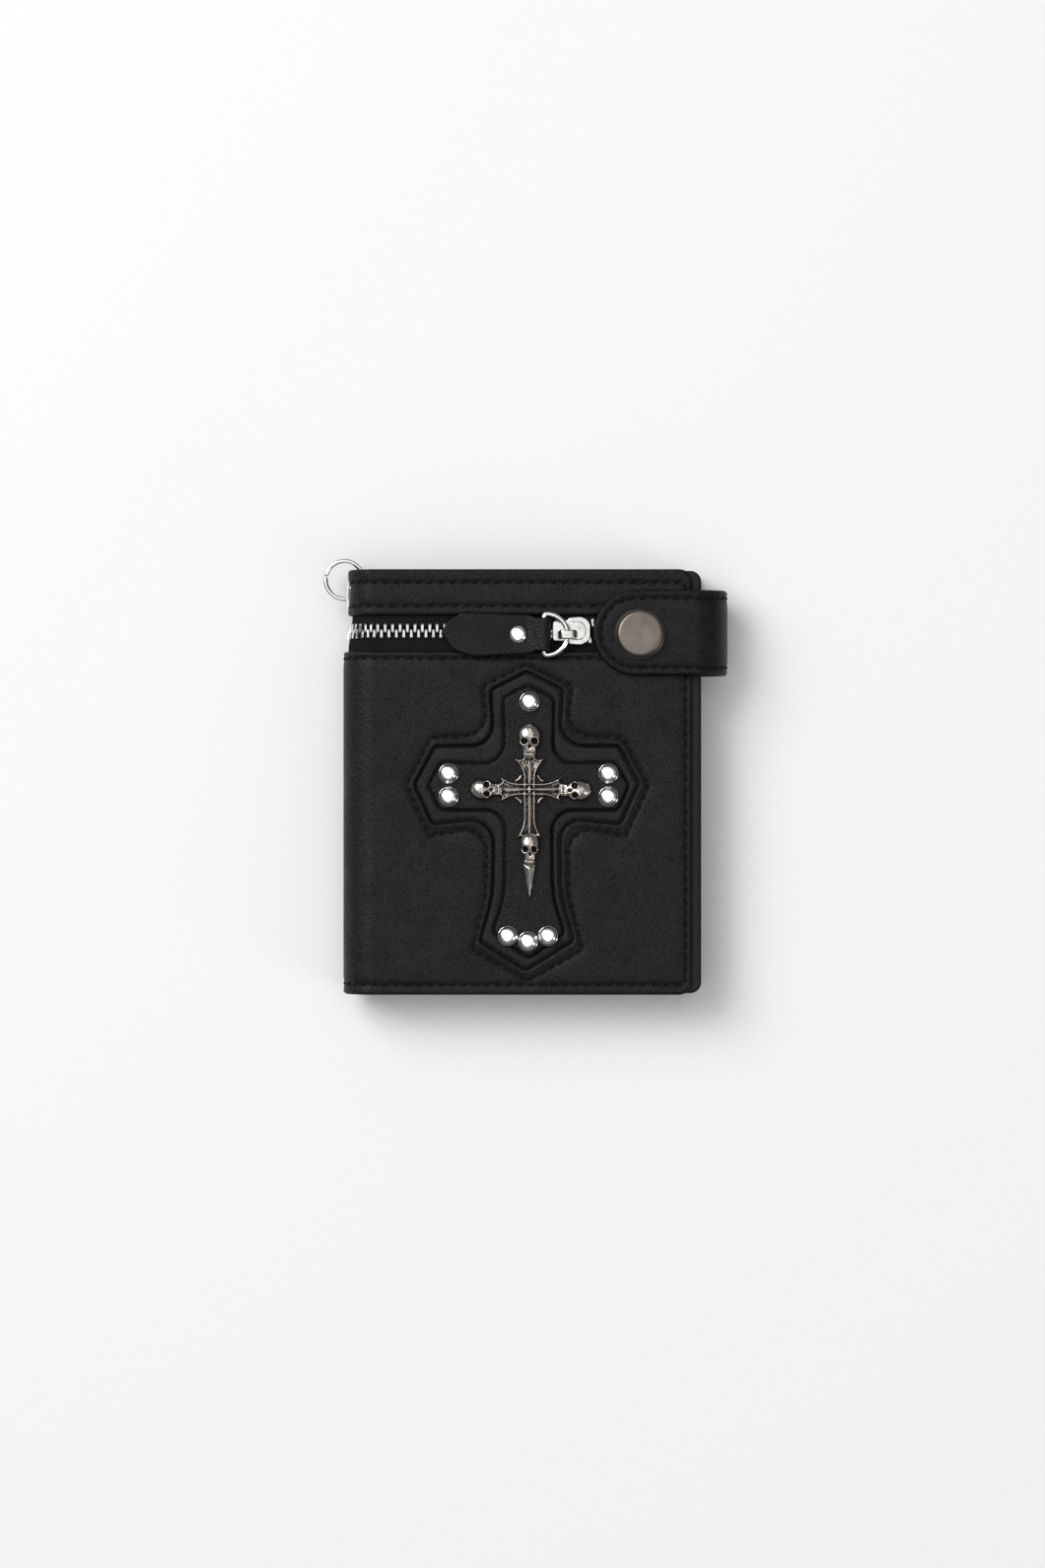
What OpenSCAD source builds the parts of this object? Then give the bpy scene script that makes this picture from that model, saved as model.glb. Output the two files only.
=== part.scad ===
// Zip-pocket bifold chain wallet in black leather, closed, lying on its back.
// Origin: middle of the flat back face. +X towards the strap edge, +Y towards the
// zip edge, +Z out of the decorated front.

/* [Closed wallet] */
// Width over the spine and the free edge
body_w = 100; // [90:1:115]
// Height from the bottom edge to the top edge
body_h = 118; // [112:1:126]
// Thickness over the two closed halves
closed_t = 18; // [17.5:0.5:20]
// Thickness of the cover leather
leather_t = 1.4; // [1.2:0.1:1.6]
// How far the front panel stops short of the back panel at the free edge
front_step = 3.1; // [2:0.1:4]
// Radius of the outer corners at the free edge
corner_r = 3.4; // [2:0.1:5]

/* [Zip] */
// Distance from the middle of the wallet up to the line of teeth
zip_y = 41.9; // [38:0.1:44]
// Height of the window that shows the zip tapes
window_h = 10.1; // [9:0.1:12]
// Distance from one tooth to the next on one tape
tooth_pitch = 2.06; // [1.9:0.02:2.4]
// Width of the meshed row of teeth
chain_w = 4.2; // [3.8:0.1:4.6]
// Thickness of the teeth
tooth_t = 2.3; // [2:0.1:2.4]

/* [Strap and snap] */
// Width of the closing strap
strap_w = 23.6; // [20:0.1:26]
// Thickness of the strap, both layers
strap_t = 2.4; // [2:0.1:2.8]
// How far the strap stands out past the free edge
strap_out = 7.1; // [6.6:0.1:9]
// Diameter of the snap cap
cap_d = 13; // [12:0.1:15]

/* [Chain ring] */
// Outside diameter of the split ring for the chain
ring_d = 12; // [11:0.5:14]
// Wire diameter of the split ring
ring_wire = 1.4; // [1.2:0.1:1.6]

/* [Studs] */
// Diameter of the eight dome studs
stud_d = 5.5; // [4.5:0.1:6]
// Height of a dome stud above the leather
stud_h = 2.2; // [1.6:0.1:2.8]

/* [Hidden] */
$fn = 48;

edge_x = body_w / 2;
edge_y = body_h / 2;
spine_r = closed_t / 2;
spine_x = spine_r - edge_x;         // where the spine's curve meets the flat panels
panel_x = spine_x + 0.7;            // left edge of the flat panels
front_x = edge_x - front_step;      // free edge of the front panel
window_x = 24;                      // blind end of the zip window
window_lo = zip_y - 5.7;
window_hi = window_lo + window_h;
strip_in = 1.3;                     // the top strip bulges this much less at the spine

// Layers of one half, measured in from its outer face
tape_z = 1.5;
tape_t = 0.5;
tooth_z = tape_z + tape_t / 2;      // middle of the teeth
lining_z = 4.0;
lining_t = 0.3;
board_z = 4.3;
board_t = 1.1;
facing_z = 5.4;
facing_t = 0.8;
pocket_z = 6.2;
pocket_t = 0.8;
layer_in = 3.0;                     // inner layers stop this far inside the edges
tape_w = 8.6;
tape_part = 0.9;                     // the tapes' inner edges stop this far from the middle
welt_w = 2.4;

// Zip slider and its pull
slider_x0 = 8.2;
slider_x1 = 18.9;
slider_w = 6.0;
slider_round_d = 7.8;
crown_w = 2.6;
crown_l = 7.8;
crown_leg = 1.2;
ring_axis_x = 12.45;
pull_z = closed_t + 1.85;
pull_wire = 1.5;
pull_ring_r = 5.65;
pull_bar_x = 6.0;
pull_y = zip_y - 1.1;
tab_layer = 1.1;
tab_tip_x = -23.4;
rivet_x = -1.2;

// Strap
strap_y = zip_y - 0.55;
tail_z = leather_t + 0.1;
flap_z = closed_t + 0.1;
strap_arc_r = (flap_z + strap_t - tail_z) / 2;
strap_arc_x = edge_x + strap_out - strap_arc_r;
strap_arc_z = tail_z + strap_arc_r;
strap_end_x = 31.4;
snap_x = 32.5;
snap_y = 41.0;
strap_skin = 1.3;

// Chain ring and its eyelet in the spine wall
ring_r = (ring_d - ring_wire) / 2;
ring_x = 0.3 - edge_x;
ring_y = edge_y - 2.6;
eyelet_y = edge_y - 6.6;
eyelet_r = 2.6;
eyelet_flange_r = 4.2;
strip_face_x = strip_in - edge_x;

// Cross-shaped window: half outlines about the cross's own axis
cross_x = 1.4;
cross_outer = [[0, 32.8], [12.3, 26.5], [10.9, 13.2], [26.6, 12.4], [33.6, -1.0],
    [27.2, -15.0], [11.2, -12.2], [11.5, -31.8], [15.3, -46.4], [0, -55.2]];
cross_inner = [[0, 27.0], [6.8, 23.6], [6.5, 5.0], [24.0, 5.8], [27.6, -0.6],
    [24.6, -7.3], [6.2, -7.3], [6.5, -31.8], [9.8, -41.3], [0, -48.5]];
cross_round = [0.8, 0.8, 6, 0.8, 0.8, 0.8, 6, 30, 0.8, 0.8];
cross_window_mix = 0.4;

// ---------- outlines ----------

// One corner of a path, rounded with radius r
function corner(a, b, c, r) =
    let (u = (a - b) / norm(a - b), v = (c - b) / norm(c - b),
         half = acos(max(-1, min(1, u * v))) / 2,
         reach = min(r / tan(half), norm(a - b) * 0.48, norm(c - b) * 0.48),
         rr = reach * tan(half), mid = (u + v) / norm(u + v),
         o = b + mid * (rr / sin(half)), p = b + u * reach, q = b + v * reach,
         a0 = atan2(p.y - o.y, p.x - o.x), turn0 = atan2(q.y - o.y, q.x - o.x) - a0,
         turn = turn0 > 180 ? turn0 - 360 : turn0 < -180 ? turn0 + 360 : turn0,
         n = max(2, ceil(abs(turn) / 15)))
    [for (i = [0:n]) o + rr * [cos(a0 + turn * i / n), sin(a0 + turn * i / n)]];

function rounded(pts, radii) =
    let (n = len(pts))
    [for (i = [0:n - 1]) each corner(pts[(i + n - 1) % n], pts[i], pts[(i + 1) % n], radii[i])];

// Full cross outline: t = 0 is the stitched line, t = 1 the inner plate
function cross_points(t) =
    let (half = [for (i = [0:len(cross_outer) - 1])
             cross_outer[i] * (1 - t) + cross_inner[i] * t],
         n = len(half),
         right = [for (p = half) [cross_x + p.x, p.y]],
         left = [for (i = [n - 2:-1:1]) [cross_x - half[i].x, half[i].y]],
         radii = concat(cross_round, [for (i = [n - 2:-1:1]) cross_round[i]]))
    rounded(concat(right, left), radii);

module cross_outline(t) {
    polygon(cross_points(t));
}

// Flat panel outline: square at the spine, round corners at the free edge
module panel_outline(right, inset = 0) {
    x0 = panel_x;
    x1 = right - inset;
    y1 = edge_y - inset;
    polygon(rounded([[x0, -y1], [x1, -y1], [x1, y1], [x0, y1]],
        [0.01, corner_r, corner_r, 0.01]));
}

module window_outline(grow = 0) {
    translate([panel_x - 1, window_lo - grow])
        square([window_x + grow - panel_x + 1, window_h + 2 * grow]);
}

module slab(z, t) {
    translate([0, 0, z]) linear_extrude(t) children();
}

// A piece of the front half: z is measured in from the front's outer face
module front_slab(z, t) {
    slab(closed_t - z - t, t) children();
}

// ---------- cover leather, zip, linings: made for the back, or for the front ----------

module cover_leather(right, z) {
    slab(z, leather_t) difference() {
        panel_outline(right);
        window_outline();
    }
}

// A frame of welt out to the wallet's edge, wide enough to be sewn under the cover's edge
module edge_welt(cover_edge, z, t) {
    slab(z, t) difference() {
        panel_outline(edge_x, 0.4);
        translate([panel_x - 1, welt_w + 0.4 - edge_y])
            square([cover_edge - panel_x + 1 - welt_w - 0.4, body_h - 2 * welt_w - 0.8]);
    }
}

module zip_tapes(z) {
    slab(z, tape_t) {
        for (y = [tape_part, -tape_w])
            translate([panel_x, zip_y + y]) square([window_x + 4 - panel_x, tape_w - tape_part]);
    }
}

// How far the tooth rows part beyond the slider's throat
function parting(x) = max(0, min(1, (x - 10.5) / 5)) * 1.5;

module tooth(side, leg = 0.96) {
    translate([-leg / 2, side > 0 ? -0.5 : -chain_w / 2, -tooth_t / 2])
        cube([leg, chain_w / 2 + 0.5, tooth_t]);
}

module tooth_row(side, z, x_end, part = false) {
    count = floor((x_end - panel_x) / tooth_pitch);
    for (i = [0:count - 1]) {
        x = panel_x + 0.6 + (i + (side > 0 ? 0.5 : 0)) * tooth_pitch;
        translate([x, zip_y + (part ? side * parting(x) : 0), z]) tooth(side);
    }
}

module pocket_lining(z) {
    slab(z, lining_t) panel_inset(layer_in, layer_in);
}

module panel_inset(right_in, y_in) {
    translate([panel_x, y_in - edge_y])
        square([edge_x - right_in - panel_x, body_h - 2 * y_in]);
}

// ---------- back half ----------

module back_leather() {
    color("#1c1c1e") cover_leather(edge_x, 0);
}

module back_edge_welt() {
    color("#161617") difference() {
        edge_welt(edge_x, leather_t, facing_z - leather_t);
        translate([edge_x - 10, strap_y - strap_w / 2 - 0.2, leather_t - 1])
            cube([20, strap_w + 0.4, facing_z - leather_t + 0.6]);
    }
}

module back_zip_tapes() {
    color("#101011") zip_tapes(tape_z);
}

module back_teeth_upper() {
    color("#b9bbbf") tooth_row(1, tooth_z, window_x - 2);
}

module back_teeth_lower() {
    color("#b9bbbf") tooth_row(-1, tooth_z, window_x - 2);
}

module back_bottom_stop() {
    color("#b9bbbf") translate([window_x - 2, zip_y - 2, tooth_z - tooth_t / 2])
        cube([1.4, 4, tooth_t]);
}

module back_pocket_lining() {
    color("#2a2a30") pocket_lining(lining_z);
}

module back_board() {
    color("#3a3530") slab(board_z, board_t) panel_inset(layer_in, layer_in + 0.4);
}

module back_facing() {
    color("#232325") slab(facing_z, facing_t) panel_outline(edge_x, 0.3);
}

// Card pockets open towards the zip edge and step down towards the bottom edge
module card_pocket(level, top) {
    color("#2b2b2e") translate([panel_x + 2, 2 - edge_y, pocket_z + level * pocket_t + 0.05])
        cube([edge_x - 3 - panel_x, top + edge_y - 2, pocket_t - 0.05]);
}

module card_pocket_low() {
    card_pocket(0, 22);
}

module card_pocket_mid() {
    card_pocket(1, 9);
}

module card_pocket_top() {
    card_pocket(2, -4);
}

// ---------- strap ----------

module strap_section(r0, r1) {
    difference() {
        circle(r1);
        circle(r0);
    }
}

// The strap's curve round the free edge, cut to x0..x1 and z0..z1
module strap_curve(r0, r1, x0) {
    intersection() {
        translate([strap_arc_x, strap_y + strap_w / 2, strap_arc_z])
            rotate([90, 0, 0]) linear_extrude(strap_w) strap_section(r0, r1);
        translate([x0, strap_y - strap_w, -1]) cube([30, 2 * strap_w, strap_arc_z + 1]);
    }
}

module strap_curve_top(r0, r1) {
    intersection() {
        translate([strap_arc_x, strap_y + strap_w / 2, strap_arc_z])
            rotate([90, 0, 0]) linear_extrude(strap_w) strap_section(r0, r1);
        translate([strap_arc_x, strap_y - strap_w, strap_arc_z - 0.01])
            cube([30, 2 * strap_w, 30]);
    }
}

module strap_tail() {
    color("#1b1b1d") {
        translate([edge_x - 14, strap_y - strap_w / 2, tail_z])
            cube([strap_arc_x - edge_x + 14, strap_w, strap_t]);
        difference() {
            strap_curve(strap_arc_r - strap_t, strap_arc_r, strap_arc_x);
            translate([edge_x, strap_y - strap_w, -2]) cube([30, 2 * strap_w, 30]);
        }
    }
}

module strap_side(r0, r1) {
    union() {
        strap_curve(r0, r1, edge_x + 0.6);
        strap_curve_top(r0, r1);
    }
}

module strap_side_leather() {
    color("#1b1b1d") strap_side(strap_arc_r - strap_skin, strap_arc_r);
}

module strap_side_lining() {
    color("#242426") strap_side(strap_arc_r - strap_t, strap_arc_r - strap_skin);
}

module flap_outline() {
    end_r = strap_w / 2;
    difference() {
        union() {
            translate([strap_end_x, strap_y]) circle(end_r, $fn = 72);
            translate([strap_end_x, strap_y - end_r])
                square([strap_arc_x - 0.6 - strap_end_x, strap_w]);
        }
        translate([snap_x, snap_y]) circle(2.0);
    }
}

module strap_flap_leather() {
    color("#1b1b1d") slab(flap_z + strap_t - strap_skin, strap_skin) flap_outline();
}

module strap_flap_lining() {
    color("#242426") difference() {
        slab(flap_z, strap_t - strap_skin) flap_outline();
        translate([snap_x, snap_y, flap_z - 1]) cylinder(r = 4.8, h = 1.9);
    }
}

module snap_cap() {
    cap_z = flap_z + strap_t;
    color("#8d877f") translate([snap_x, snap_y, 0]) {
        translate([0, 0, cap_z]) cylinder(d = cap_d + 1, h = 0.5);
        translate([0, 0, cap_z + 0.5]) rotate_extrude()
            polygon([[0, 0], [cap_d / 2, 0], [cap_d / 2, 1.4], [cap_d / 2 - 0.5, 1.9], [0, 2.1]]);
        translate([0, 0, flap_z + 0.9]) cylinder(r = 1.9, h = strap_t - 0.9);
    }
}

module snap_socket() {
    color("#9a958d") translate([snap_x, snap_y, flap_z - 0.05]) difference() {
        cylinder(r = 4.6, h = 0.9);
        translate([0, 0, -1]) cylinder(r = 2.1, h = 2.5);
    }
}

// ---------- spine ----------

// Half-round shell about the closed wallet's middle line, from y0 to y1
module spine_shell(r0, r1, y0, y1) {
    translate([spine_x, y1, spine_r]) rotate([90, 0, 0]) linear_extrude(y1 - y0)
        intersection() {
            strap_section(r0, r1);
            translate([-30, -30]) square([30, 60]);
        }
}

// The same shell pushed in towards the pages, for the narrower top strip
module strip_shell(y0, y1) {
    squeeze = (spine_r - strip_in) / spine_r;
    difference() {
        translate([spine_x, y1, spine_r]) rotate([90, 0, 0]) linear_extrude(y1 - y0)
            difference() {
                polygon([for (i = [0:36]) let (a = 90 + i * 5)
                    [spine_r * squeeze * cos(a), spine_r * sin(a)]]);
                polygon([for (i = [0:36]) let (a = 90 + i * 5)
                    [(spine_r * squeeze - leather_t) * cos(a), (spine_r - leather_t) * sin(a)]]);
            }
        translate([strip_face_x - 1, eyelet_y, spine_r]) rotate([0, 90, 0])
            cylinder(r = eyelet_r + 0.5, h = 4);
    }
}

module spine_leather() {
    color("#1c1c1e") {
        spine_shell(spine_r - leather_t, spine_r, -edge_y, window_lo);
        strip_shell(window_hi, edge_y);
    }
}

module spine_zip_tapes() {
    r = spine_r - tape_z;
    color("#101011") {
        spine_shell(r - tape_t, r, zip_y + tape_part, window_hi - 0.1);
        spine_shell(r - tape_t, r, zip_y - tape_w, zip_y - tape_part);
    }
}

module spine_tooth_row(side) {
    r = spine_r - tooth_z;
    step = 180 / 12;
    for (i = [0:11]) {
        a = (i + (side > 0 ? 0.75 : 0.25)) * step + 90;
        translate([spine_x + r * cos(a), zip_y, spine_r + r * sin(a)])
            rotate([0, -a + 90, 0]) tooth(side, 0.78);
    }
}

module spine_teeth_upper() {
    color("#b9bbbf") spine_tooth_row(1);
}

module spine_teeth_lower() {
    color("#b9bbbf") spine_tooth_row(-1);
}

module spine_facing() {
    color("#232325") spine_shell(spine_r - 2.3, spine_r - 1.6, 2 - edge_y, zip_y - tape_w - 0.4);
}

module chain_eyelet() {
    color("#c8cacd") translate([strip_face_x, eyelet_y, spine_r]) rotate([0, 90, 0])
        difference() {
            union() {
                translate([0, 0, -0.55]) cylinder(r = eyelet_flange_r, h = 0.5);
                translate([0, 0, -0.55]) cylinder(r = eyelet_r + 0.45, h = 3.3);
            }
            translate([0, 0, -2]) cylinder(r = eyelet_r, h = 8);
        }
}

module eyelet_washer() {
    color("#c8cacd") translate([strip_face_x + leather_t + 0.9, eyelet_y, spine_r])
        rotate([0, 90, 0]) difference() {
            cylinder(r = 3.5, h = 0.4);
            translate([0, 0, -1]) cylinder(r = eyelet_r + 0.5, h = 3);
        }
}

module chain_ring() {
    color("#d0d2d5") translate([ring_x, ring_y, spine_r]) difference() {
        rotate_extrude($fn = 72) translate([ring_r, 0]) circle(d = ring_wire, $fn = 24);
        rotate([0, 0, 170]) translate([0, -0.15, -2]) cube([20, 0.3, 4]);
    }
}

// ---------- front half ----------

module front_leather() {
    color("#1c1c1e") difference() {
        cover_leather(front_x, closed_t - leather_t);
        slab(closed_t - 4, 8) cross_outline(cross_window_mix);
        translate([snap_x, snap_y, closed_t - 4]) cylinder(r = 1.7, h = 8);
    }
}

module front_edge_welt() {
    color("#161617") edge_welt(front_x, closed_t - facing_z, facing_z - leather_t);
}

module front_zip_tapes() {
    color("#101011") zip_tapes(closed_t - tape_z - tape_t);
}

module front_teeth_upper() {
    color("#b9bbbf") tooth_row(1, closed_t - tooth_z, window_x - 2, true);
}

module front_teeth_lower() {
    color("#b9bbbf") tooth_row(-1, closed_t - tooth_z, window_x - 2, true);
}

module front_top_stops() {
    color("#b9bbbf") for (side = [-1, 1])
        translate([window_x - 1.6, zip_y + side * 2.4 - 0.9, closed_t - tooth_z - tooth_t / 2])
            cube([1.3, 1.8, tooth_t]);
}

module front_pocket_lining() {
    color("#2a2a30") slab(closed_t - lining_z - lining_t, lining_t)
        panel_inset(layer_in + front_step, layer_in);
}

module front_board() {
    color("#3a3530") slab(closed_t - board_z - board_t, board_t)
        panel_inset(layer_in + front_step, layer_in + 0.4);
}

module front_facing() {
    color("#232325") front_slab(facing_z, facing_t) panel_outline(edge_x - 0.6, 0.3);
}

module slip_pocket() {
    color("#2b2b2e") translate([panel_x + 2, 2 - edge_y, closed_t - pocket_z - pocket_t])
        cube([edge_x - 3.6 - panel_x, edge_y + 24, pocket_t - 0.05]);
}

module id_pocket_frame() {
    id_z = closed_t - pocket_z - 2 * pocket_t;
    color("#2b2b2e") difference() {
        translate([panel_x + 2, 2 - edge_y, id_z])
            cube([edge_x - 3.6 - panel_x, edge_y + 12, pocket_t - 0.05]);
        translate([panel_x + 12, 11 - edge_y, id_z - 1]) cube([68, 48, 4]);
    }
}

module id_window() {
    color([0.8, 0.85, 0.9, 0.4])
        translate([panel_x + 12.05, 11.05 - edge_y, closed_t - pocket_z - 2 * pocket_t + 0.45])
            cube([67.9, 47.9, 0.3]);
}

module cross_backing() {
    color("#1e1e20") front_slab(leather_t + 0.02, 1.2) cross_outline(0);
}

module cross_plate() {
    color("#1e1e20") front_slab(-0.1, leather_t + 0.1) cross_outline(1);
}

plate_z = closed_t + 0.1;

// Stud places in the tips of the inner cross
stud_places = [[1.9, 22.3], [-20.5, 2.4], [-20.5, -4.0], [23.8, 2.4], [23.8, -4.0],
    [-4.1, -42.6], [1.5, -44.1], [7.1, -42.6]];

module dome_stud() {
    dome_r = (stud_d * stud_d / 4 + stud_h * stud_h) / (2 * stud_h);
    intersection() {
        translate([0, 0, stud_h - dome_r]) sphere(dome_r);
        cylinder(d = stud_d + 1, h = stud_h + 1);
    }
    translate([0, 0, -2.4]) cylinder(d = 1.2, h = 2.6);
}

module dome_studs() {
    color("#d9dbde") for (p = stud_places) translate([p.x, p.y, plate_z]) dome_stud();
}

// Cast cross: bars, four skulls and a spike below
module cast_skull() {
    intersection() {
        union() {
            translate([0, 1.6, 0.4]) sphere(3.4);
            translate([-1.9, -4.6, 0]) cube([3.8, 5, 2.4]);
        }
        translate([-8, -8, 0]) cube([16, 16, 8]);
    }
}

module cast_cross() {
    bar = 3.0;
    color("#6f6a66") translate([1.9, -2.0, plate_z]) {
        slab(0, 2.0) polygon([[-bar / 2, 2], [-2.2, 6], [-4.6, 9], [4.6, 9], [2.2, 6],
            [bar / 2, 2], [4.4, 1.9], [7.6, 3.4], [7.6, -3.6], [4.4, -1.9], [bar / 2, -2],
            [2.2, -9], [3.6, -13], [-3.6, -13], [-2.2, -9], [-bar / 2, -2], [-4.4, -1.9],
            [-7.6, -3.6], [-7.6, 3.4], [-4.4, 1.9]]);
        translate([0, 13.4, 0]) cast_skull();
        translate([0, -16.4, 0]) cast_skull();
        translate([-11.6, 0, 0]) rotate([0, 0, 90]) cast_skull();
        translate([11.6, 0, 0]) rotate([0, 0, -90]) cast_skull();
        slab(0, 1.8) polygon([[-1.6, -20], [1.6, -20], [1.3, -25], [0, -30.4], [-1.3, -25]]);
        for (p = [[0, 12], [0, -15]]) translate([p[0], p[1], -2.4]) cylinder(d = 1.4, h = 2.6);
    }
}

module snap_stud() {
    color("#9a958d") translate([snap_x, snap_y, 0]) {
        translate([0, 0, closed_t - leather_t - 0.75]) cylinder(r = 3.6, h = 0.7);
        translate([0, 0, closed_t - leather_t - 0.75]) cylinder(r = 1.6, h = 2.4);
    }
}

// ---------- zip slider and pull ----------

module slider_plate(z, t) {
    slab(z, t) {
        translate([slider_x0, zip_y - slider_w / 2]) square([7, slider_w]);
        translate([slider_x1 - slider_round_d / 2, zip_y]) circle(d = slider_round_d);
    }
}

module zip_slider() {
    low = closed_t - tooth_z - 1.25;
    high = closed_t - tooth_z + 1.25;
    top = high + 0.9;
    color("#dfe1e4") {
        slider_plate(low - 0.8, 0.8);
        slider_plate(high, 0.9);
        translate([17.2, zip_y, low - 0.1]) cylinder(d = 1.7, h = high - low + 0.2);
        translate([slider_x0 + 0.4, pull_y - crown_w / 2, top - 0.1]) difference() {
            cube([crown_l, crown_w, pull_z + 1.9 - top]);
            translate([crown_leg, -1, 0.1])
                cube([crown_l - 2 * crown_leg, crown_w + 2, pull_z + 1 - top]);
        }
    }
}

// D-shaped ring: a straight bar in the tab's fold and a half circle through the crown
module pull_ring() {
    reach = ring_axis_x - pull_ring_r;
    color("#d6d8db") translate([0, pull_y, pull_z]) {
        translate([reach, 0, 0]) intersection() {
            rotate_extrude($fn = 72) translate([pull_ring_r, 0]) circle(d = pull_wire, $fn = 24);
            translate([0, -10, -5]) cube([20, 20, 10]);
        }
        for (side = [-1, 1]) translate([pull_bar_x, side * pull_ring_r, 0]) rotate([0, 90, 0])
            cylinder(d = pull_wire, h = reach - pull_bar_x + 0.01);
        translate([pull_bar_x, -pull_ring_r - pull_wire / 2, 0]) rotate([-90, 0, 0])
            cylinder(d = pull_wire, h = 2 * pull_ring_r + pull_wire);
    }
}

module pull_tab() {
    half = 5.6;
    fold_half = 4.7;
    bore = pull_wire / 2 + 0.05;
    outline = rounded([[tab_tip_x, 0.6], [-15, -6.1], [2, -5.9], [3.4, -fold_half],
        [pull_bar_x, -fold_half], [pull_bar_x, fold_half], [3.4, fold_half],
        [2, half], [-15, 6.2]], [1.2, 3, 0.6, 0.6, 0.01, 0.01, 0.6, 0.6, 3]);
    color("#202022") translate([0, pull_y, 0]) difference() {
        union() {
            slab(pull_z - 1.8, 2.2) polygon(outline);
            translate([pull_bar_x, -fold_half, pull_z]) rotate([-90, 0, 0])
                cylinder(r = bore + tab_layer - 0.1, h = 2 * fold_half);
        }
        translate([pull_bar_x, -20, pull_z]) rotate([-90, 0, 0]) cylinder(r = bore, h = 40);
        translate([rivet_x, 0, 0]) cylinder(r = 1.3, h = 60);
    }
}

module pull_tab_rivet() {
    top = pull_z + 0.4;
    color("#d9dbde") translate([rivet_x, pull_y, 0]) {
        intersection() {
            translate([0, 0, top - 2.1]) sphere(3.2);
            translate([0, 0, top]) cylinder(d = 8, h = 4);
        }
        translate([0, 0, pull_z - 1.8]) cylinder(r = 1.25, h = 2.3);
    }
}

// ---------- what is drawn ----------

back_leather();
back_edge_welt();
back_zip_tapes();
back_teeth_upper();
back_teeth_lower();
back_bottom_stop();
back_pocket_lining();
back_board();
back_facing();
card_pocket_low();
card_pocket_mid();
card_pocket_top();
strap_tail();
spine_leather();
spine_zip_tapes();
spine_teeth_upper();
spine_teeth_lower();
spine_facing();
chain_eyelet();
eyelet_washer();
chain_ring();
front_leather();
front_edge_welt();
front_zip_tapes();
front_teeth_upper();
front_teeth_lower();
front_top_stops();
front_pocket_lining();
front_board();
front_facing();
slip_pocket();
id_pocket_frame();
id_window();
cross_backing();
cross_plate();
cast_cross();
dome_studs();
snap_stud();
zip_slider();
pull_ring();
pull_tab();
pull_tab_rivet();
strap_side_leather();
strap_side_lining();
strap_flap_leather();
strap_flap_lining();
snap_cap();
snap_socket();
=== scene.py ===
import math
import bmesh
import bpy
import numpy as np
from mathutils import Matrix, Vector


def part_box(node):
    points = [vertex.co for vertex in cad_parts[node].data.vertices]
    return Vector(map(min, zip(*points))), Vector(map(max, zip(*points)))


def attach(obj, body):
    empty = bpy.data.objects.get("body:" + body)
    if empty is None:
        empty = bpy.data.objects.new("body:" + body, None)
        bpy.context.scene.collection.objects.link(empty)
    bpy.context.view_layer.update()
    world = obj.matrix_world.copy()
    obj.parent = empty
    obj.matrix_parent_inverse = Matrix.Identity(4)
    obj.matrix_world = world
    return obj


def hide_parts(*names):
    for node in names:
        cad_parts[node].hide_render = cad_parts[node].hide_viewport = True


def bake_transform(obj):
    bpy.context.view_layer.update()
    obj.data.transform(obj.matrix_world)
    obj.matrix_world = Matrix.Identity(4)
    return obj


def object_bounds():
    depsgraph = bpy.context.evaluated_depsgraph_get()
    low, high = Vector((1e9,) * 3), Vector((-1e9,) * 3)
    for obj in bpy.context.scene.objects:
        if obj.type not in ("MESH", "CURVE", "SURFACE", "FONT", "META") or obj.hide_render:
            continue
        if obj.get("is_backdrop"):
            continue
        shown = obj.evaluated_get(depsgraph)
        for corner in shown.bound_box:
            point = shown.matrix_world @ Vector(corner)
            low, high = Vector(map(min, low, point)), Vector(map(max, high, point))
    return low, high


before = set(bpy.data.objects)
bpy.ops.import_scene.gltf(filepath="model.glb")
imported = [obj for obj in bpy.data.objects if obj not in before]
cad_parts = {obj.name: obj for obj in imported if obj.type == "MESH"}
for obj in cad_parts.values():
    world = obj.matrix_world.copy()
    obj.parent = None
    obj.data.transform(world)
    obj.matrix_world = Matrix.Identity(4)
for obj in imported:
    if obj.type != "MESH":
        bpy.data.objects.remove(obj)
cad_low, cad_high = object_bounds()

# ---- Cover leather of the back half --------------------------------------------
# One cut of 1.4 mm black grained cowhide that runs from the free edge over the back
# and round the lower half of the spine, with a slot for the zip along its top.
# Its edges are rolled, and rows of thread pull it down a little inside them.

MM = 0.001


def corners(node):
    low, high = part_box(node)
    return np.array(low) / MM, np.array(high) / MM


def corner_arc(a, b, c, r):
    """The points that round corner b, between a and c, to radius r."""
    u = (a - b) / np.linalg.norm(a - b)
    v = (c - b) / np.linalg.norm(c - b)
    half = math.acos(max(-1, min(1, float(u @ v)))) / 2
    reach = min(r / math.tan(half), np.linalg.norm(a - b) * 0.48, np.linalg.norm(c - b) * 0.48)
    radius = reach * math.tan(half)
    centre = b + (u + v) / np.linalg.norm(u + v) * radius / math.sin(half)
    first, last = b + u * reach - centre, b + v * reach - centre
    a0 = math.atan2(first[1], first[0])
    turn = math.atan2(last[1], last[0]) - a0
    turn -= 2 * math.pi * round(turn / (2 * math.pi))
    n = max(2, math.ceil(abs(turn) / 0.2))
    return [centre + radius * np.array([math.cos(a0 + turn * i / n), math.sin(a0 + turn * i / n)])
            for i in range(n + 1)]


def rounded(points, radii):
    p = [np.array(q, float) for q in points]
    n = len(p)
    return np.array([q for i in range(n)
                     for q in corner_arc(p[i - 1], p[i], p[(i + 1) % n], radii[i])])


def rectangle(low, high, radii):
    return rounded([(low[0], low[1]), (high[0], low[1]), (high[0], high[1]), (low[0], high[1])], radii)


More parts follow.
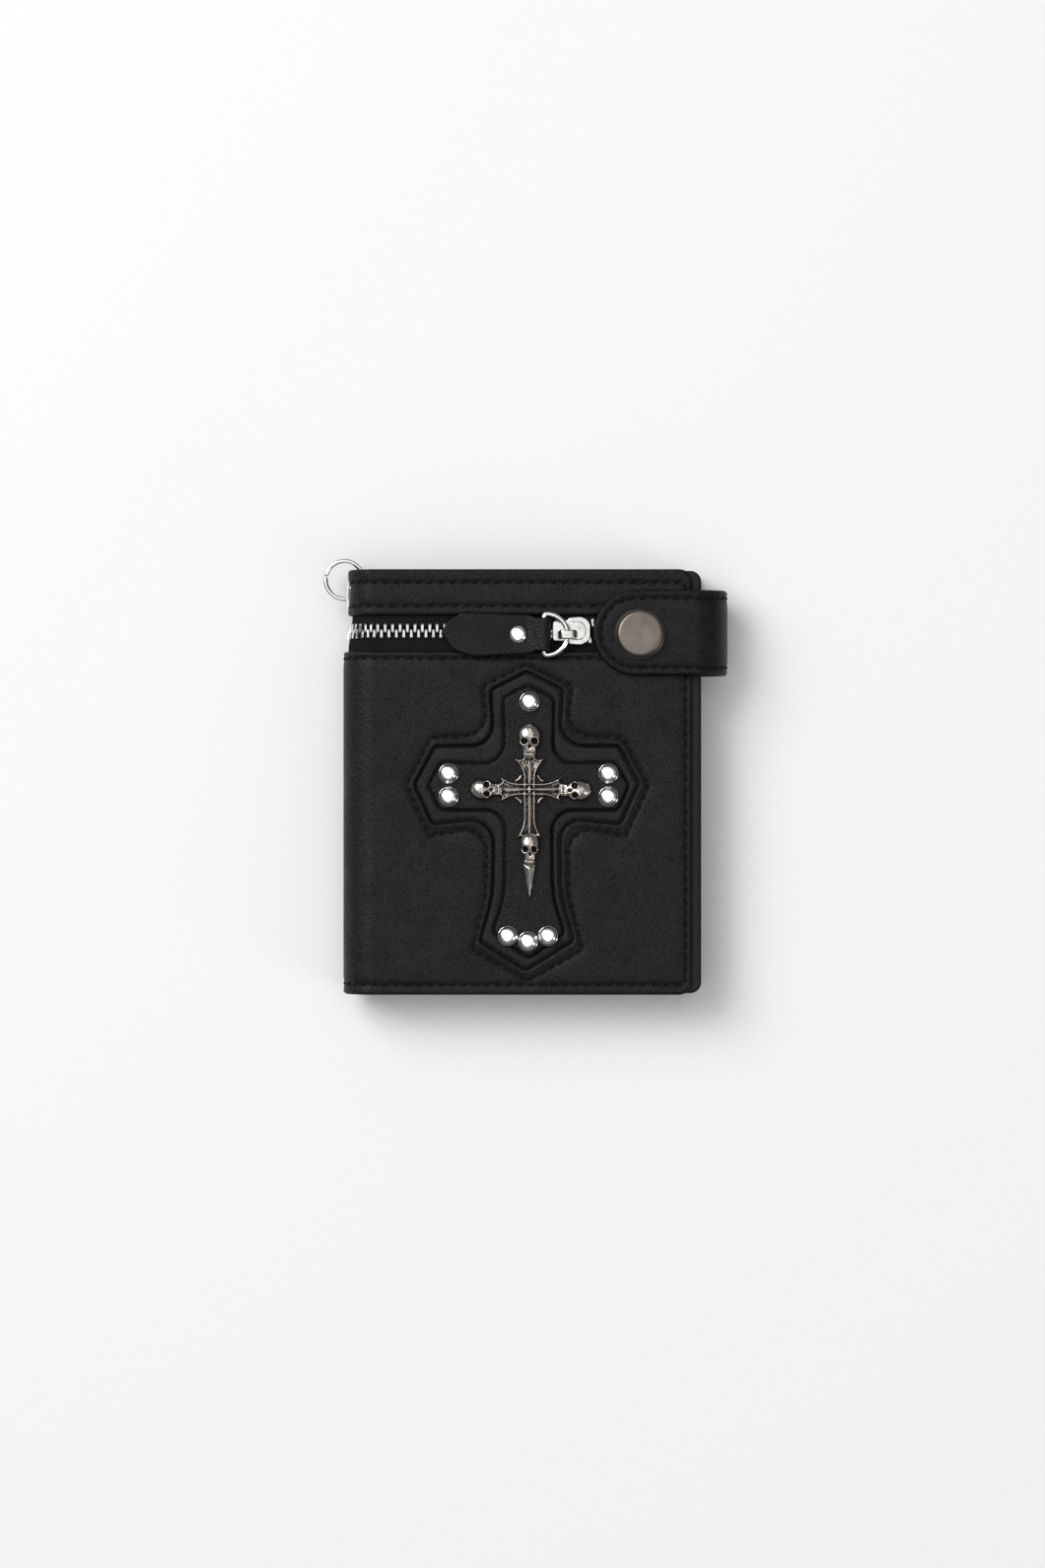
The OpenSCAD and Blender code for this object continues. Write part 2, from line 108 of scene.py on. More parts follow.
def line_distance(x, y, points, closed=False):
    """How far each place lies from the line through the points."""
    best = np.full(np.shape(x), 1e9)
    ends = np.roll(points, -1, 0) if closed else points[1:]
    for a, b in zip(points, ends):
        d = b - a
        t = np.clip(((x - a[0]) * d[0] + (y - a[1]) * d[1]) / max(d @ d, 1e-12), 0, 1)
        best = np.minimum(best, np.hypot(x - a[0] - t * d[0], y - a[1] - t * d[1]))
    return best


def inside(x, y, outline):
    """Distance to the outline, positive inside it and negative outside."""
    odd = np.zeros(np.shape(x), bool)
    for a, b in zip(outline, np.roll(outline, -1, 0)):
        if a[1] != b[1]:
            crosses = (a[1] > y) != (b[1] > y)
            odd ^= crosses & (x < (b[0] - a[0]) * (y - a[1]) / (b[1] - a[1]) + a[0])
    return np.where(odd, 1, -1) * line_distance(x, y, outline, closed=True)


def new_piece(name, vertices, faces):
    mesh = bpy.data.meshes.new(name)
    mesh.from_pydata((np.asarray(vertices) * MM).tolist(), [], faces)
    bm = bmesh.new()
    bm.from_mesh(mesh)
    bmesh.ops.recalc_face_normals(bm, faces=bm.faces)
    bm.to_mesh(mesh)
    bm.free()
    mesh.shade_smooth()
    piece = bpy.data.objects.new(name, mesh)
    bpy.context.scene.collection.objects.link(piece)
    return piece


def mark(piece, name, values):
    """Store one number per point for the material to read."""
    layer = piece.data.attributes.new(name, "FLOAT", "POINT")
    layer.data.foreach_set("value", np.asarray(values, np.float32))


def cut_sheet(name, low, high, step, within, height, thick, place, open_x=None, rows=()):
    """A sheet cut along within(x, y) = 0 and laid out by place(x, y, height).
    height(x, y, d) is its top at distance d from the cut; its underside is flat.
    At x = open_x another piece carries on, so the sheet has no edge there.
    It is marked with how near each point is to its cut edge and to its sewn rows."""
    nx = int(round((high[0] - low[0]) / step)) + 1
    ny = int(round((high[1] - low[1]) / step)) + 1
    gx, gy = np.meshgrid(np.linspace(low[0], high[0], nx), np.linspace(low[1], high[1], ny),
                         indexing="ij")
    d = within(gx, gy)
    slope_x = (within(gx + 0.01, gy) - d) / 0.01
    slope_y = (within(gx, gy + 0.01) - d) / 0.01
    if open_x is not None:
        slope_x[np.isclose(gx, open_x)] = 0
    near = np.abs(d) < 0.35 * step
    steep = np.maximum(slope_x ** 2 + slope_y ** 2, 0.5)
    x = np.where(near, gx - d * slope_x / steep, gx)
    y = np.where(near, gy - d * slope_y / steep, gy)
    d = np.where(near, 0, d)
    kept = d >= 0
    number = -np.ones((nx, ny), int)
    number[kept] = np.arange(kept.sum())
    points = list(zip(x[kept], y[kept], d[kept]))
    crossings = {}

    def crossing(p, q):
        key = (min(p, q), max(p, q))
        if key not in crossings:
            t = d[p] / (d[p] - d[q])
            crossings[key] = len(points)
            points.append((x[p] + t * (x[q] - x[p]), y[p] + t * (y[q] - y[p]), 0.0))
        return crossings[key]

    faces = []
    count = (kept[:-1, :-1] + 0) + kept[1:, :-1] + kept[1:, 1:] + kept[:-1, 1:]
    for i, j in zip(*np.nonzero(count == 4)):
        faces.append([number[i, j], number[i + 1, j], number[i + 1, j + 1], number[i, j + 1]])
    for i, j in zip(*np.nonzero((count > 0) & (count < 4))):
        ring = [(i, j), (i + 1, j), (i + 1, j + 1), (i, j + 1)]
        face = []
        for p, q in zip(ring, ring[1:] + ring[:1]):
            if kept[p]:
                face.append(number[p])
            if kept[p] and not kept[q] and d[p] > 0:
                face.append(crossing(p, q))
            if kept[q] and not kept[p] and d[q] > 0:
                face.append(crossing(q, p))
        if len(face) > 2:
            faces.append(face)
    px, py, pd = np.array(points).T
    n = len(points)
    borders = {(a, b) for f in faces for a, b in zip(f, f[1:] + f[:1])}
    walls = [[b, a, a + n, b + n] for a, b in borders if (b, a) not in borders
             and not (open_x is not None and abs(px[a] - open_x) + abs(px[b] - open_x) < 1e-6)]
    under = [[i + n for i in reversed(f)] for f in faces]
    vertices = np.concatenate([place(px, py, height(px, py, pd)), place(px, py, pd * 0 - thick)])
    piece = new_piece(name, vertices, [[int(i) for i in f] for f in faces + under + walls])
    mark(piece, "edge", np.exp(-np.concatenate([pd, pd]) / 0.4))
    off = np.full(n, 9.0)
    for row in rows:
        off = np.minimum(off, line_distance(px, py, row))
    mark(piece, "sewn", np.exp(-(np.concatenate([off, off]) / 0.5) ** 2))
    return piece


closed = corners("front_leather")[1][2]
leather = closed - corners("front_leather")[0][2]
spine_r = closed / 2
spine_x = -41.0
spine_mid = spine_x - spine_r * math.pi / 2
back_edge, top_edge = corners("back_leather")[1][:2]
slot_x, slot_low, slot_high = 24.0, 36.2, 46.3
corner_r = 3.4
strip_in = 1.3
beyond = -90  # further out than the spine reaches, so that an outline has no edge there
square = 0.01  # a corner that isn't rounded
eyelet_drop, eyelet_cut = 6.6, 2.9
spine_back = (spine_x * MM, 0, 0)
spine_side = ((spine_x - spine_r) * MM, 0, spine_r * MM)
spine_front = (spine_x * MM, 0, closed * MM)


def smooth_step(t):
    t = np.clip(t, 0, 1)
    return t * t * (3 - 2 * t)


def spine_wrap(x, y, h):
    """Lay a point out on the front: x runs flat to the spine, then round it."""
    turn = np.maximum(0, spine_x - x) / spine_r
    above = smooth_step((y - slot_low) / (slot_high - slot_low))
    r = spine_r + h
    px = np.where(turn > 0, spine_x - r * np.sin(turn) * (1 - strip_in / spine_r * above), x)
    pz = np.where(turn > 0, spine_r + r * np.cos(turn), closed + h)
    return np.stack([px, y + 0 * px, pz], -1)


def back_wrap(x, y, h):
    return spine_wrap(x, y, h) * [1, 1, -1] + [0, 0, closed]


def panel_outline(right, r=corner_r, top=top_edge):
    return rectangle((beyond, -top), (right, top), [square, r, r, square])


slot_outline = rectangle((beyond, slot_low), (slot_x, slot_high), [square, 1.4, 1.4, square])
back_outline = panel_outline(back_edge)


def edge_roll(d, r=0.6):
    """How far the leather is rolled down at distance d from its cut edge."""
    t = np.clip(1 - d / r, 0, 1)
    return r * (np.sqrt(1 - t * t) - 1)


def thread_ditch(x, y, rows, deep):
    """Thread pulls the leather down, in a narrow ditch within a wide soft one."""
    d = np.full(np.shape(x), 1e9)
    for row in rows:
        d = np.minimum(d, line_distance(x, y, row))
    return -deep * (0.8 * np.exp(-(d / 0.6) ** 2) + 0.4 * np.exp(-(d / 1.8) ** 2))


def cover_rows(right):
    """Thread beside the zip slot on both sides, and all round the edge."""
    top, low, side = top_edge - 3.6, 2.9 - top_edge, right - 1.7
    edge = rectangle((beyond, low), (side, top), [square, 1.5, 1.5, square])
    edge = np.array([(max(p[0], spine_mid), p[1]) for p in edge])
    return [np.array([(spine_mid, slot_high + 2.6), (side, slot_high + 2.6)]),
            np.array([(spine_mid, slot_low - 1.8), (side, slot_low - 1.8)]), edge]


back_rows = cover_rows(back_edge)


def eyelet_hole(x, y):
    return np.hypot(x - spine_mid, y - top_edge + eyelet_drop) - eyelet_cut


def back_within(x, y):
    d = np.minimum(inside(x, y, back_outline), -inside(x, y, slot_outline))
    return np.minimum(d, eyelet_hole(x, y))


def back_top(x, y):
    return thread_ditch(x, y, back_rows, 0.3)


def back_height(x, y, d):
    return edge_roll(d) + back_top(x, y)


back_cover = cut_sheet("back_cover_leather", (spine_mid, -top_edge - 0.6),
                       (back_edge + 0.6, top_edge + 0.6), 0.6, back_within, back_height,
                       leather, back_wrap, open_x=spine_mid, rows=back_rows)


def shader(name, rough, metal=0.0, specular=0.5):
    """A new material with its main shader and the places things are measured from."""
    material = bpy.data.materials.new(name)
    material.use_nodes = True
    tree = material.node_tree
    body = tree.nodes["Principled BSDF"]
    body.inputs["Roughness"].default_value = rough
    body.inputs["Metallic"].default_value = metal
    body.inputs["Specular IOR Level"].default_value = specular
    return material, tree, body, tree.nodes.new("ShaderNodeTexCoord").outputs["Object"]


def texture(tree, kind, where, size_mm, **settings):
    """A noise, cell or wave texture whose marks are about size_mm across."""
    node = tree.nodes.new("ShaderNodeTex" + kind)
    node.inputs["Scale"].default_value = 1 / (size_mm * MM)
    for key, value in settings.items():
        if key in ("feature", "wave_type", "bands_direction"):
            setattr(node, key, value)
        else:
            node.inputs[key].default_value = value
    tree.links.new(where, node.inputs["Vector"])
    return node


def maths(tree, kind, a, b=0.0):
    node = tree.nodes.new("ShaderNodeMath")
    node.operation = kind
    for socket, value in zip(node.inputs, (a, b)):
        if isinstance(value, (int, float)):
            socket.default_value = value
        else:
            tree.links.new(value, socket)
    return node.outputs[0]


def plus(tree, a, b, times=1.0):
    """a plus b times a number."""
    return maths(tree, "ADD", a, maths(tree, "MULTIPLY", b, times))


def spread(tree, value, low, high, to_low=0.0, to_high=1.0):
    """Stretch a value's range low..high to to_low..to_high."""
    node = tree.nodes.new("ShaderNodeMapRange")
    tree.links.new(value, node.inputs["Value"])
    for key, number in (("From Min", low), ("From Max", high), ("To Min", to_low), ("To Max", to_high)):
        node.inputs[key].default_value = number
    return node.outputs["Result"]


def mix_colour(tree, amount, dark, light):
    node = tree.nodes.new("ShaderNodeMix")
    node.data_type = "RGBA"
    tree.links.new(amount, node.inputs["Factor"])
    for socket, value in ((node.inputs["A"], dark), (node.inputs["B"], light)):
        if isinstance(value, tuple):
            socket.default_value = (*value, 1)
        else:
            tree.links.new(value, socket)
    return node.outputs["Result"]


def coat(tree, body, amount, dark, light):
    """Colour the surface from dark to light by amount."""
    tree.links.new(mix_colour(tree, amount, dark, light), body.inputs["Base Color"])


def bump(tree, body, height, deep_mm):
    node = tree.nodes.new("ShaderNodeBump")
    node.inputs["Distance"].default_value = deep_mm * MM
    node.inputs["Strength"].default_value = 1.0
    tree.links.new(height, node.inputs["Height"])
    tree.links.new(node.outputs["Normal"], body.inputs["Normal"])


def attribute(tree, name):
    node = tree.nodes.new("ShaderNodeAttribute")
    node.attribute_name = name
    return node.outputs["Fac"]


def black_leather(name, dark, light, rough, grain_mm, grain_deep):
    """Pebbled hide: small rounded cells, fine pores, soft creases. Its cut edges are near black: edge paint,
    and painted shade of the step at each cut edge. Beside the thread rows it is darker: painted shade of the
    thread's ditch, with some wax.
    """
    material, tree, body, where = shader(name, rough)
    bend = texture(tree, "Noise", where, 3.0, Detail=2.0)
    push = tree.nodes.new("ShaderNodeVectorMath")
    push.operation = "MULTIPLY_ADD"
    tree.links.new(bend.outputs["Color"], push.inputs[0])
    push.inputs[1].default_value = (0.0011, 0.0011, 0.0011)
    tree.links.new(where, push.inputs[2])
    cells = texture(tree, "Voronoi", push.outputs[0], grain_mm, feature="SMOOTH_F1", Smoothness=0.5)
    pores = texture(tree, "Noise", where, 0.22, Detail=3.0)
    folds = texture(tree, "Noise", where, 9.0, Detail=4.0, Roughness=0.6)
    grain = maths(tree, "MULTIPLY", cells.outputs["Distance"], -1.0)
    grain = plus(tree, plus(tree, grain, pores.outputs[0], 0.35), folds.outputs[0], 2.0)
    bump(tree, body, grain, grain_deep)
    tone = maths(tree, "MULTIPLY", folds.outputs[0], 0.5)
    tone = plus(tree, plus(tree, tone, cells.outputs["Distance"], -0.6), pores.outputs[0])
    colour = mix_colour(tree, spread(tree, tone, 0.2, 0.65), dark, light)
    # Near-black colour and less shine on the cut edges: edge paint, and painted shade of the step at each
    # cut edge.
    edge_paint_and_shade = spread(tree, plus(tree, attribute(tree, "edge"), pores.outputs[0], 0.1), 0.7, 0.95)
    colour = mix_colour(tree, edge_paint_and_shade, colour, (0.0012, 0.0012, 0.0012))
    # Beside the thread rows the colour is darkened and the shine lowered: painted shade in the thread's
    # ditch, partly the thread's wax.
    sewn = attribute(tree, "sewn")
    coat(tree, body, maths(tree, "MULTIPLY", sewn, 0.22), colour, (0.001, 0.001, 0.001))
    shine = spread(tree, cells.outputs["Distance"], 0.0, 0.8, 0.21, 0.13)
    shine = maths(tree, "MULTIPLY", shine, spread(tree, sewn, 0.0, 1.0, 1.0, 0.5))
    shine = maths(tree, "MULTIPLY", shine, spread(tree, edge_paint_and_shade, 0.0, 1.0, 1.0, 0.35))
    tree.links.new(shine, body.inputs["Specular IOR Level"])
    matt = spread(tree, folds.outputs[0], 0.3, 0.7, rough + 0.07, rough - 0.06)
    tree.links.new(matt, body.inputs["Roughness"])
    return material


cover_hide = black_leather("cover_hide", (0.003, 0.003, 0.0032), (0.0105, 0.0105, 0.0107), 0.44, 0.55, 0.13)
back_cover.data.materials.append(cover_hide)
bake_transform(back_cover)
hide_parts("back_leather")


# ---- Cover leather of the front half -------------------------------------------
# The same hide round the upper half of the spine and over the front, stopping short
# of the free edge. A cross-shaped window is cut through it and sewn round.

front_edge = corners("front_leather")[1][0]
cross_x = 1.4
cross_outer = [(0, 32.8), (12.3, 26.5), (10.9, 13.2), (26.6, 12.4), (33.6, -1.0),
               (27.2, -15.0), (11.2, -12.2), (11.5, -31.8), (15.3, -46.4), (0, -55.2)]
cross_inner = [(0, 27.0), (6.8, 23.6), (6.5, 5.0), (24.0, 5.8), (27.6, -0.6),
               (24.6, -7.3), (6.2, -7.3), (6.5, -31.8), (9.8, -41.3), (0, -48.5)]
cross_round = [0.8, 0.8, 6, 0.8, 0.8, 0.8, 6, 30, 0.8, 0.8]


def cross_line(t, dx=0.0, dy=0.0, soft=0.0):
    """The cross from its sewn outline at t = 0 to its raised middle at t = 1."""
    half = [np.array(a) * (1 - t) + np.array(b) * t for a, b in zip(cross_outer, cross_inner)]
    right = [(cross_x + dx + p[0], p[1] + dy) for p in half]
    left = [(cross_x + dx - p[0], p[1] + dy) for p in half[-2:0:-1]]
    radii = [max(r, soft) for r in cross_round]
    return rounded(right + left, radii + radii[-2:0:-1])


front_outline = panel_outline(front_edge)
window_line = cross_line(0.4, -0.3, 0.3, 1.3)
cross_thread = cross_line(0.0)
cross_ring = np.concatenate([cross_thread, cross_thread[:1]])
front_rows = cover_rows(front_edge)


def front_within(x, y):
    d = np.minimum(inside(x, y, front_outline), -inside(x, y, slot_outline))
    return np.minimum(np.minimum(d, eyelet_hole(x, y)), -inside(x, y, window_line))


def front_top(x, y):
    return thread_ditch(x, y, front_rows, 0.32) + thread_ditch(x, y, [cross_ring], 0.42)


def front_height(x, y, d):
    rim = line_distance(x, y, window_line, closed=True)
    puffed = 0.22 * np.exp(-((rim - 0.9) / 0.6) ** 2)
    return edge_roll(d) + puffed + front_top(x, y)


front_cover = cut_sheet("front_cover_leather", (spine_mid, -top_edge - 0.5),
                        (front_edge + 0.5, top_edge + 0.5), 0.5, front_within, front_height,
                        leather, spine_wrap, open_x=spine_mid, rows=front_rows + [cross_ring])
front_cover.data.materials.append(cover_hide)
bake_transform(front_cover)
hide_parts("front_leather", "spine_leather")


# ---- Thread in both covers ------------------------------------------------------
# Thick black waxed thread, about 3 mm a stitch. Each stitch lies a little slanted in
# its ditch and dives into the leather at both ends.


def along(line, pitch):
    """Places and directions at equal steps along a line."""
    steps = np.diff(line, axis=0)
    lengths = np.hypot(*steps.T)
    total = np.concatenate([[0], np.cumsum(lengths)])
    count = max(1, round(total[-1] / pitch))
    out = []
    for k in range(count):
        s = (k + 0.5) * total[-1] / count
        i = min(np.searchsorted(total, s) - 1, len(lengths) - 1)
        out.append((line[i] + steps[i] * (s - total[i]) / lengths[i], steps[i] / lengths[i]))
    return out, total[-1] / count


def ring_faces(rings, sides, base=0, closed=False, capped=True):
    """Faces between rings of points, each joined to the next. If closed, the last ring is
    joined to the first; if not, a flat face caps both ends, unless capped is False."""
    faces = []
    for k in range(rings if closed else rings - 1):
        a, b = base + k * sides, base + (k + 1) % rings * sides
        faces += [[a + j, a + (j + 1) % sides, b + (j + 1) % sides, b + j] for j in range(sides)]
    if capped and not closed:
        faces += [list(range(base, base + sides)),
                  list(reversed(range(base + (rings - 1) * sides, base + rings * sides)))]
    return faces


def stitches(name, jobs, seed, r=0.42):
    """Each job is a line, a pitch, a height(x, y), a place(x, y, h)."""
    rng = np.random.default_rng(seed)
    vertices, faces, twist = [], [], []
    rings, sides, proud = 7, 6, 0.05
    for line, pitch, height, place in jobs:
        spots, real = along(line, pitch)
        for spot, ahead in spots:
            side = np.array([-ahead[1], ahead[0]])
            slant, reach = rng.normal(0.3, 0.03), real * rng.normal(0.3, 0.015)
            shift = rng.normal(0, 0.05)
            base = len(vertices) * rings * sides
            t = np.linspace(-1, 1, rings)[:, None]
            a = np.arange(sides)[None] * 2 * math.pi / sides
            thick = r * (1 - 0.35 * t ** 6)
            off = (shift + slant * t) + thick * np.cos(a)
            mid_x = spot[0] + ahead[0] * reach * t + 0 * a
            mid_y = spot[1] + ahead[1] * reach * t + 0 * a
            x, y = mid_x + side[0] * off, mid_y + side[1] * off
            h = height(mid_x, mid_y) + proud - 0.5 * np.abs(t) ** 5 + thick * np.sin(a)
            vertices.append(place(x.ravel(), y.ravel(), h.ravel()))
            twist.append((t * reach + thick[0] * np.cos(a)).ravel())
            faces += ring_faces(rings, sides, base)
    piece = new_piece(name, np.concatenate(vertices), faces)
    mark(piece, "twist", np.concatenate(twist))
    piece.data.materials.append(black_thread)
    return piece


def twisted_thread():
    material, tree, body, where = shader("black_thread", 0.6, specular=0.14)
    lay = maths(tree, "SINE", maths(tree, "MULTIPLY", attribute(tree, "twist"), 16.0))
    fuzz = texture(tree, "Noise", where, 0.12, Detail=2.0)
    bump(tree, body, plus(tree, lay, fuzz.outputs[0], 0.8), 0.04)
    coat(tree, body, spread(tree, lay, -1.0, 1.0), (0.0012, 0.0012, 0.0012), (0.006, 0.006, 0.006))
    return material


black_thread = twisted_thread()

front_stitching = stitches("front_stitching", [
    (front_rows[0], 3.5, front_top, spine_wrap), (front_rows[1], 3.1, front_top, spine_wrap),
    (front_rows[2], 3.1, front_top, spine_wrap), (cross_ring, 2.85, front_top, spine_wrap)], 3)
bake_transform(front_stitching)

back_stitching = stitches("back_stitching", [
    (back_rows[0], 3.5, back_top, back_wrap), (back_rows[1], 3.1, back_top, back_wrap),
    (back_rows[2], 3.1, back_top, back_wrap)], 4)
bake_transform(back_stitching)


# ---- Cross inlay: backing and raised middle ------------------------------------
# Under the window lies a second piece of hide, which shows as a sunken band. On it
# sits a smaller cross, cut clean through; its cut edge is near black, which is edge paint and painted shade
# of the step.


def bell(*terms):
    """A rounded bump that is 1 where every term is 0."""
    return np.exp(-sum(t * t for t in terms))


def flat_on(top):
    """Lay a sheet flat with its top at this height."""
    return lambda x, y, h: np.stack([x, y, h + top], -1)


plate_top = corners("cross_plate")[1][2]
backing_top = corners("cross_backing")[1][2]
plate_line = cross_line(1.0, 0.25, -0.3, 2.0)


def backing_height(x, y, d):
    """The backing bulges between the window's edge and the middle piece."""
    band = np.minimum(inside(x, y, window_line), -inside(x, y, plate_line))
    return 0.3 * smooth_step(band / 1.2) - 0.4 * bell(band / 0.4)


cross_backing = cut_sheet("cross_backing_leather", (-32.8, -55.6), (35.6, 33.2), 0.45,
                          lambda x, y: inside(x, y, cross_thread), backing_height, 1.1,
                          flat_on(backing_top))
band_hide = black_leather("band_hide", (0.006, 0.006, 0.0063), (0.0155, 0.0155, 0.0158), 0.48, 0.55, 0.11)
cross_backing.data.materials.append(band_hide)
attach(cross_backing, "front_half")
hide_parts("cross_backing")

cross_plate = cut_sheet("cross_middle_leather", (-26.4, -49.2), (29.6, 27.2), 0.5,
                        lambda x, y: inside(x, y, plate_line),
                        lambda x, y, d: edge_roll(d, 0.4) - 0.05,
                        plate_top - backing_top - 0.05, flat_on(plate_top))
cross_plate.data.materials.append(cover_hide)
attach(cross_plate, "front_half")
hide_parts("cross_plate")


# ---- Dome studs -----------------------------------------------------------------
# Polished nickel rivet heads with a low skirt, set through the tips of the cross.


def turned(profile, centre, sides=40, along_x=False):
    """Spin a profile of (radius, height) round an upright axis, or one along X. A profile
    that ends where it starts is a ring and has no caps."""
    a = np.arange(sides) * 2 * math.pi / sides
    rings = [np.stack([r * np.cos(a), r * np.sin(a), 0 * a + z], -1) for r, z in profile]
    points = np.concatenate(rings)
    if along_x:
        points = points[:, [2, 0, 1]]
    return points + centre, ring_faces(len(profile), sides, capped=profile[0] != profile[-1])


def joined(name, parts, material):
    """One piece of one material from several parts, each a list of points and of faces."""
    vertices, faces, n = [], [], 0
    for points, loops in parts:
        vertices.append(points)
        faces += [[i + n for i in f] for f in loops]
        n += len(points)
    piece = new_piece(name, np.concatenate(vertices), faces)
    piece.data.materials.append(material)
    return piece


def stretched(tree, where, scale, turn):
    """Places scaled and turned, so that a texture's marks run one way."""
    node = tree.nodes.new("ShaderNodeMapping")
    node.inputs["Scale"].default_value = scale
    node.inputs["Rotation"].default_value = turn
    tree.links.new(where, node.inputs["Vector"])
    return node.outputs[0]


def bright_metal(name, colour, rough, tarnish, waves=0.0):
    """Plated metal with fine rubbing marks, small pits and a little dull film."""
    material, tree, body, where = shader(name, rough, metal=1.0)
    film = texture(tree, "Noise", where, 1.8, Detail=5.0, Roughness=0.65)
    lines = stretched(tree, where, (1.0, 0.12, 0.6), (0.2, 0.5, 0.7))
    rubs = texture(tree, "Noise", lines, 0.2, Detail=3.0)
    pits = texture(tree, "Noise", where, 0.35, Detail=2.0)
    cast = texture(tree, "Noise", where, 1.4, Detail=1.0)
    relief = plus(tree, rubs.outputs[0], pits.outputs[0], 0.7)
    bump(tree, body, plus(tree, relief, cast.outputs[0], waves), 0.006)
    dull = spread(tree, film.outputs[0], 0.42, 0.7, 0.0, tarnish)
    coat(tree, body, dull, colour, tuple(0.35 * c for c in colour))
    rougher = plus(tree, spread(tree, film.outputs[0], 0.35, 0.7, rough * 0.7, rough * 1.6),
                   spread(tree, rubs.outputs[0], 0.5, 0.8, 0.0, 0.08))
    tree.links.new(rougher, body.inputs["Roughness"])
    return material


nickel = bright_metal("polished_nickel", (0.9, 0.89, 0.87), 0.07, 0.12)
stud_places = [(1.9, 22.3), (-20.5, 2.4), (-20.5, -4.0), (23.8, 2.4), (23.8, -4.0),
               (-4.1, -42.6), (1.5, -44.1), (7.1, -42.6)]
stud_rise = corners("dome_studs")[1][2] - plate_top
stud_r = corners("dome_studs")[1][0] - stud_places[3][0]
stud_profile = [(0.6, -2.2), (0.6, -0.02), (stud_r, -0.02), (stud_r, 0.22), (stud_r - 0.12, 0.32)]
for tilt in np.linspace(0, math.pi / 2, 15):
    stud_profile.append(((stud_r - 0.25) * abs(math.cos(tilt)) ** 0.5 + 0.001,
                         0.34 + (stud_rise - 0.34) * math.sin(tilt) ** 0.75))
studs = joined("dome_studs_nickel",
               [turned(stud_profile, (x, y, plate_top)) for x, y in stud_places], nickel)
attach(studs, "front_half")
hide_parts("dome_studs")


# ---- Cast cross ------------------------------------------------------------------
# One antiqued casting: bevelled arms with flared ends, scrolls in the inner corners,
# a skull at each end and a spike below. Two pins hold it to the middle of the inlay.

cast_at = np.array([1.9, -2.0])
arms = [(90, 8.4, 4.6), (0, 8.4, 3.4), (180, 7.8, 3.65), (270, 13.2, 3.65)]
skulls = [(0, 1.9, 12.9, 1.0, 1.0), (90, -11.4, -2.0, 0.9, 0.92), (-90, 15.9, -2.3, 0.92, 0.95),
          (0, 2.0, -17.1, 0.87, 0.95)]


def arm_outline(flare, wide):
    """An arm that runs straight, then sweeps out to two thin horns."""
    sweep = [(1.6 + (wide - 1.6) * t ** 2, flare - 5.2 + 5.6 * t) for t in np.linspace(0, 1, 10)]
    right = [(1.6, -1.6)] + sweep + [(wide * 0.6, flare - 0.25), (1.7, flare), (1.35, flare + 1.6)]
    return np.array(right + [(-u, v) for u, v in reversed(right)])


def turn_to(x, y, angle, centre):
    """Coordinates across and along something that points angle degrees from +Y."""
    a = math.radians(angle)
    dx, dy = x - centre[0], y - centre[1]
    return dx * math.cos(a) + dy * math.sin(a), dy * math.cos(a) - dx * math.sin(a)


def skull_form(u, v):
    """Distance and height of a skull that faces up: crown at +v, jaw at -v."""
    crown = np.sqrt((u / 3.3) ** 2 + (v / 3.4) ** 2)
    jaw = np.interp(v, [-6.4, -6.1, -4.8, -3.4, -2.4, 0.0], [0.7, 1.5, 1.9, 2.0, 2.95, 3.1])
    along_jaw = np.minimum(np.minimum(jaw - np.abs(u), v + 6.4), -v)
    d = np.maximum((1 - crown) * 3.3, along_jaw)
    top = 0.8 + 2.5 * np.sqrt(np.clip(1 - crown ** 2, 0, 1))
    face = 0.8 + np.interp(v, [-6.4, -5.5, -4.0, -2.0, 0], [0.7, 1.4, 1.7, 2.1, 2.3]) * \
        np.sqrt(np.clip(1 - (u / jaw) ** 2, 0, 1)) * (v < 0)
    h = np.maximum(top, face)
    au = np.abs(u)
    eye = np.hypot(au - 1.42, (v + 1.55) * 1.05)
    h = h + 0.3 * bell((au - 1.3) / 0.9, (v + 0.35) / 0.35) + 0.4 * bell((au - 2.2) / 0.5, (v + 2.9) / 0.4)
    h = h + 0.35 * bell((eye - 1.08) / 0.24) - 1.9 * bell(eye / 0.8) + 0.9 * bell(eye / 0.28)
    h = h - 1.1 * bell(u / (0.3 + 0.12 * np.clip(-v - 2.2, 0, 2)), (v + 3.0) / 0.55)
    mouth = smooth_step((v + 6.0) / 0.3) * smooth_step((-3.75 - v) / 0.25) * (au < 1.75)
    h = h - mouth * (0.38 * np.cos(math.pi * u / 0.62) ** 8 + 0.5 * bell((v + 4.85) / 0.16))
    h = h - 0.12 * bell((u - 0.25 * np.sin(2.2 * v)) / 0.1) * smooth_step((v - 0.6) / 0.8)
    return d, h


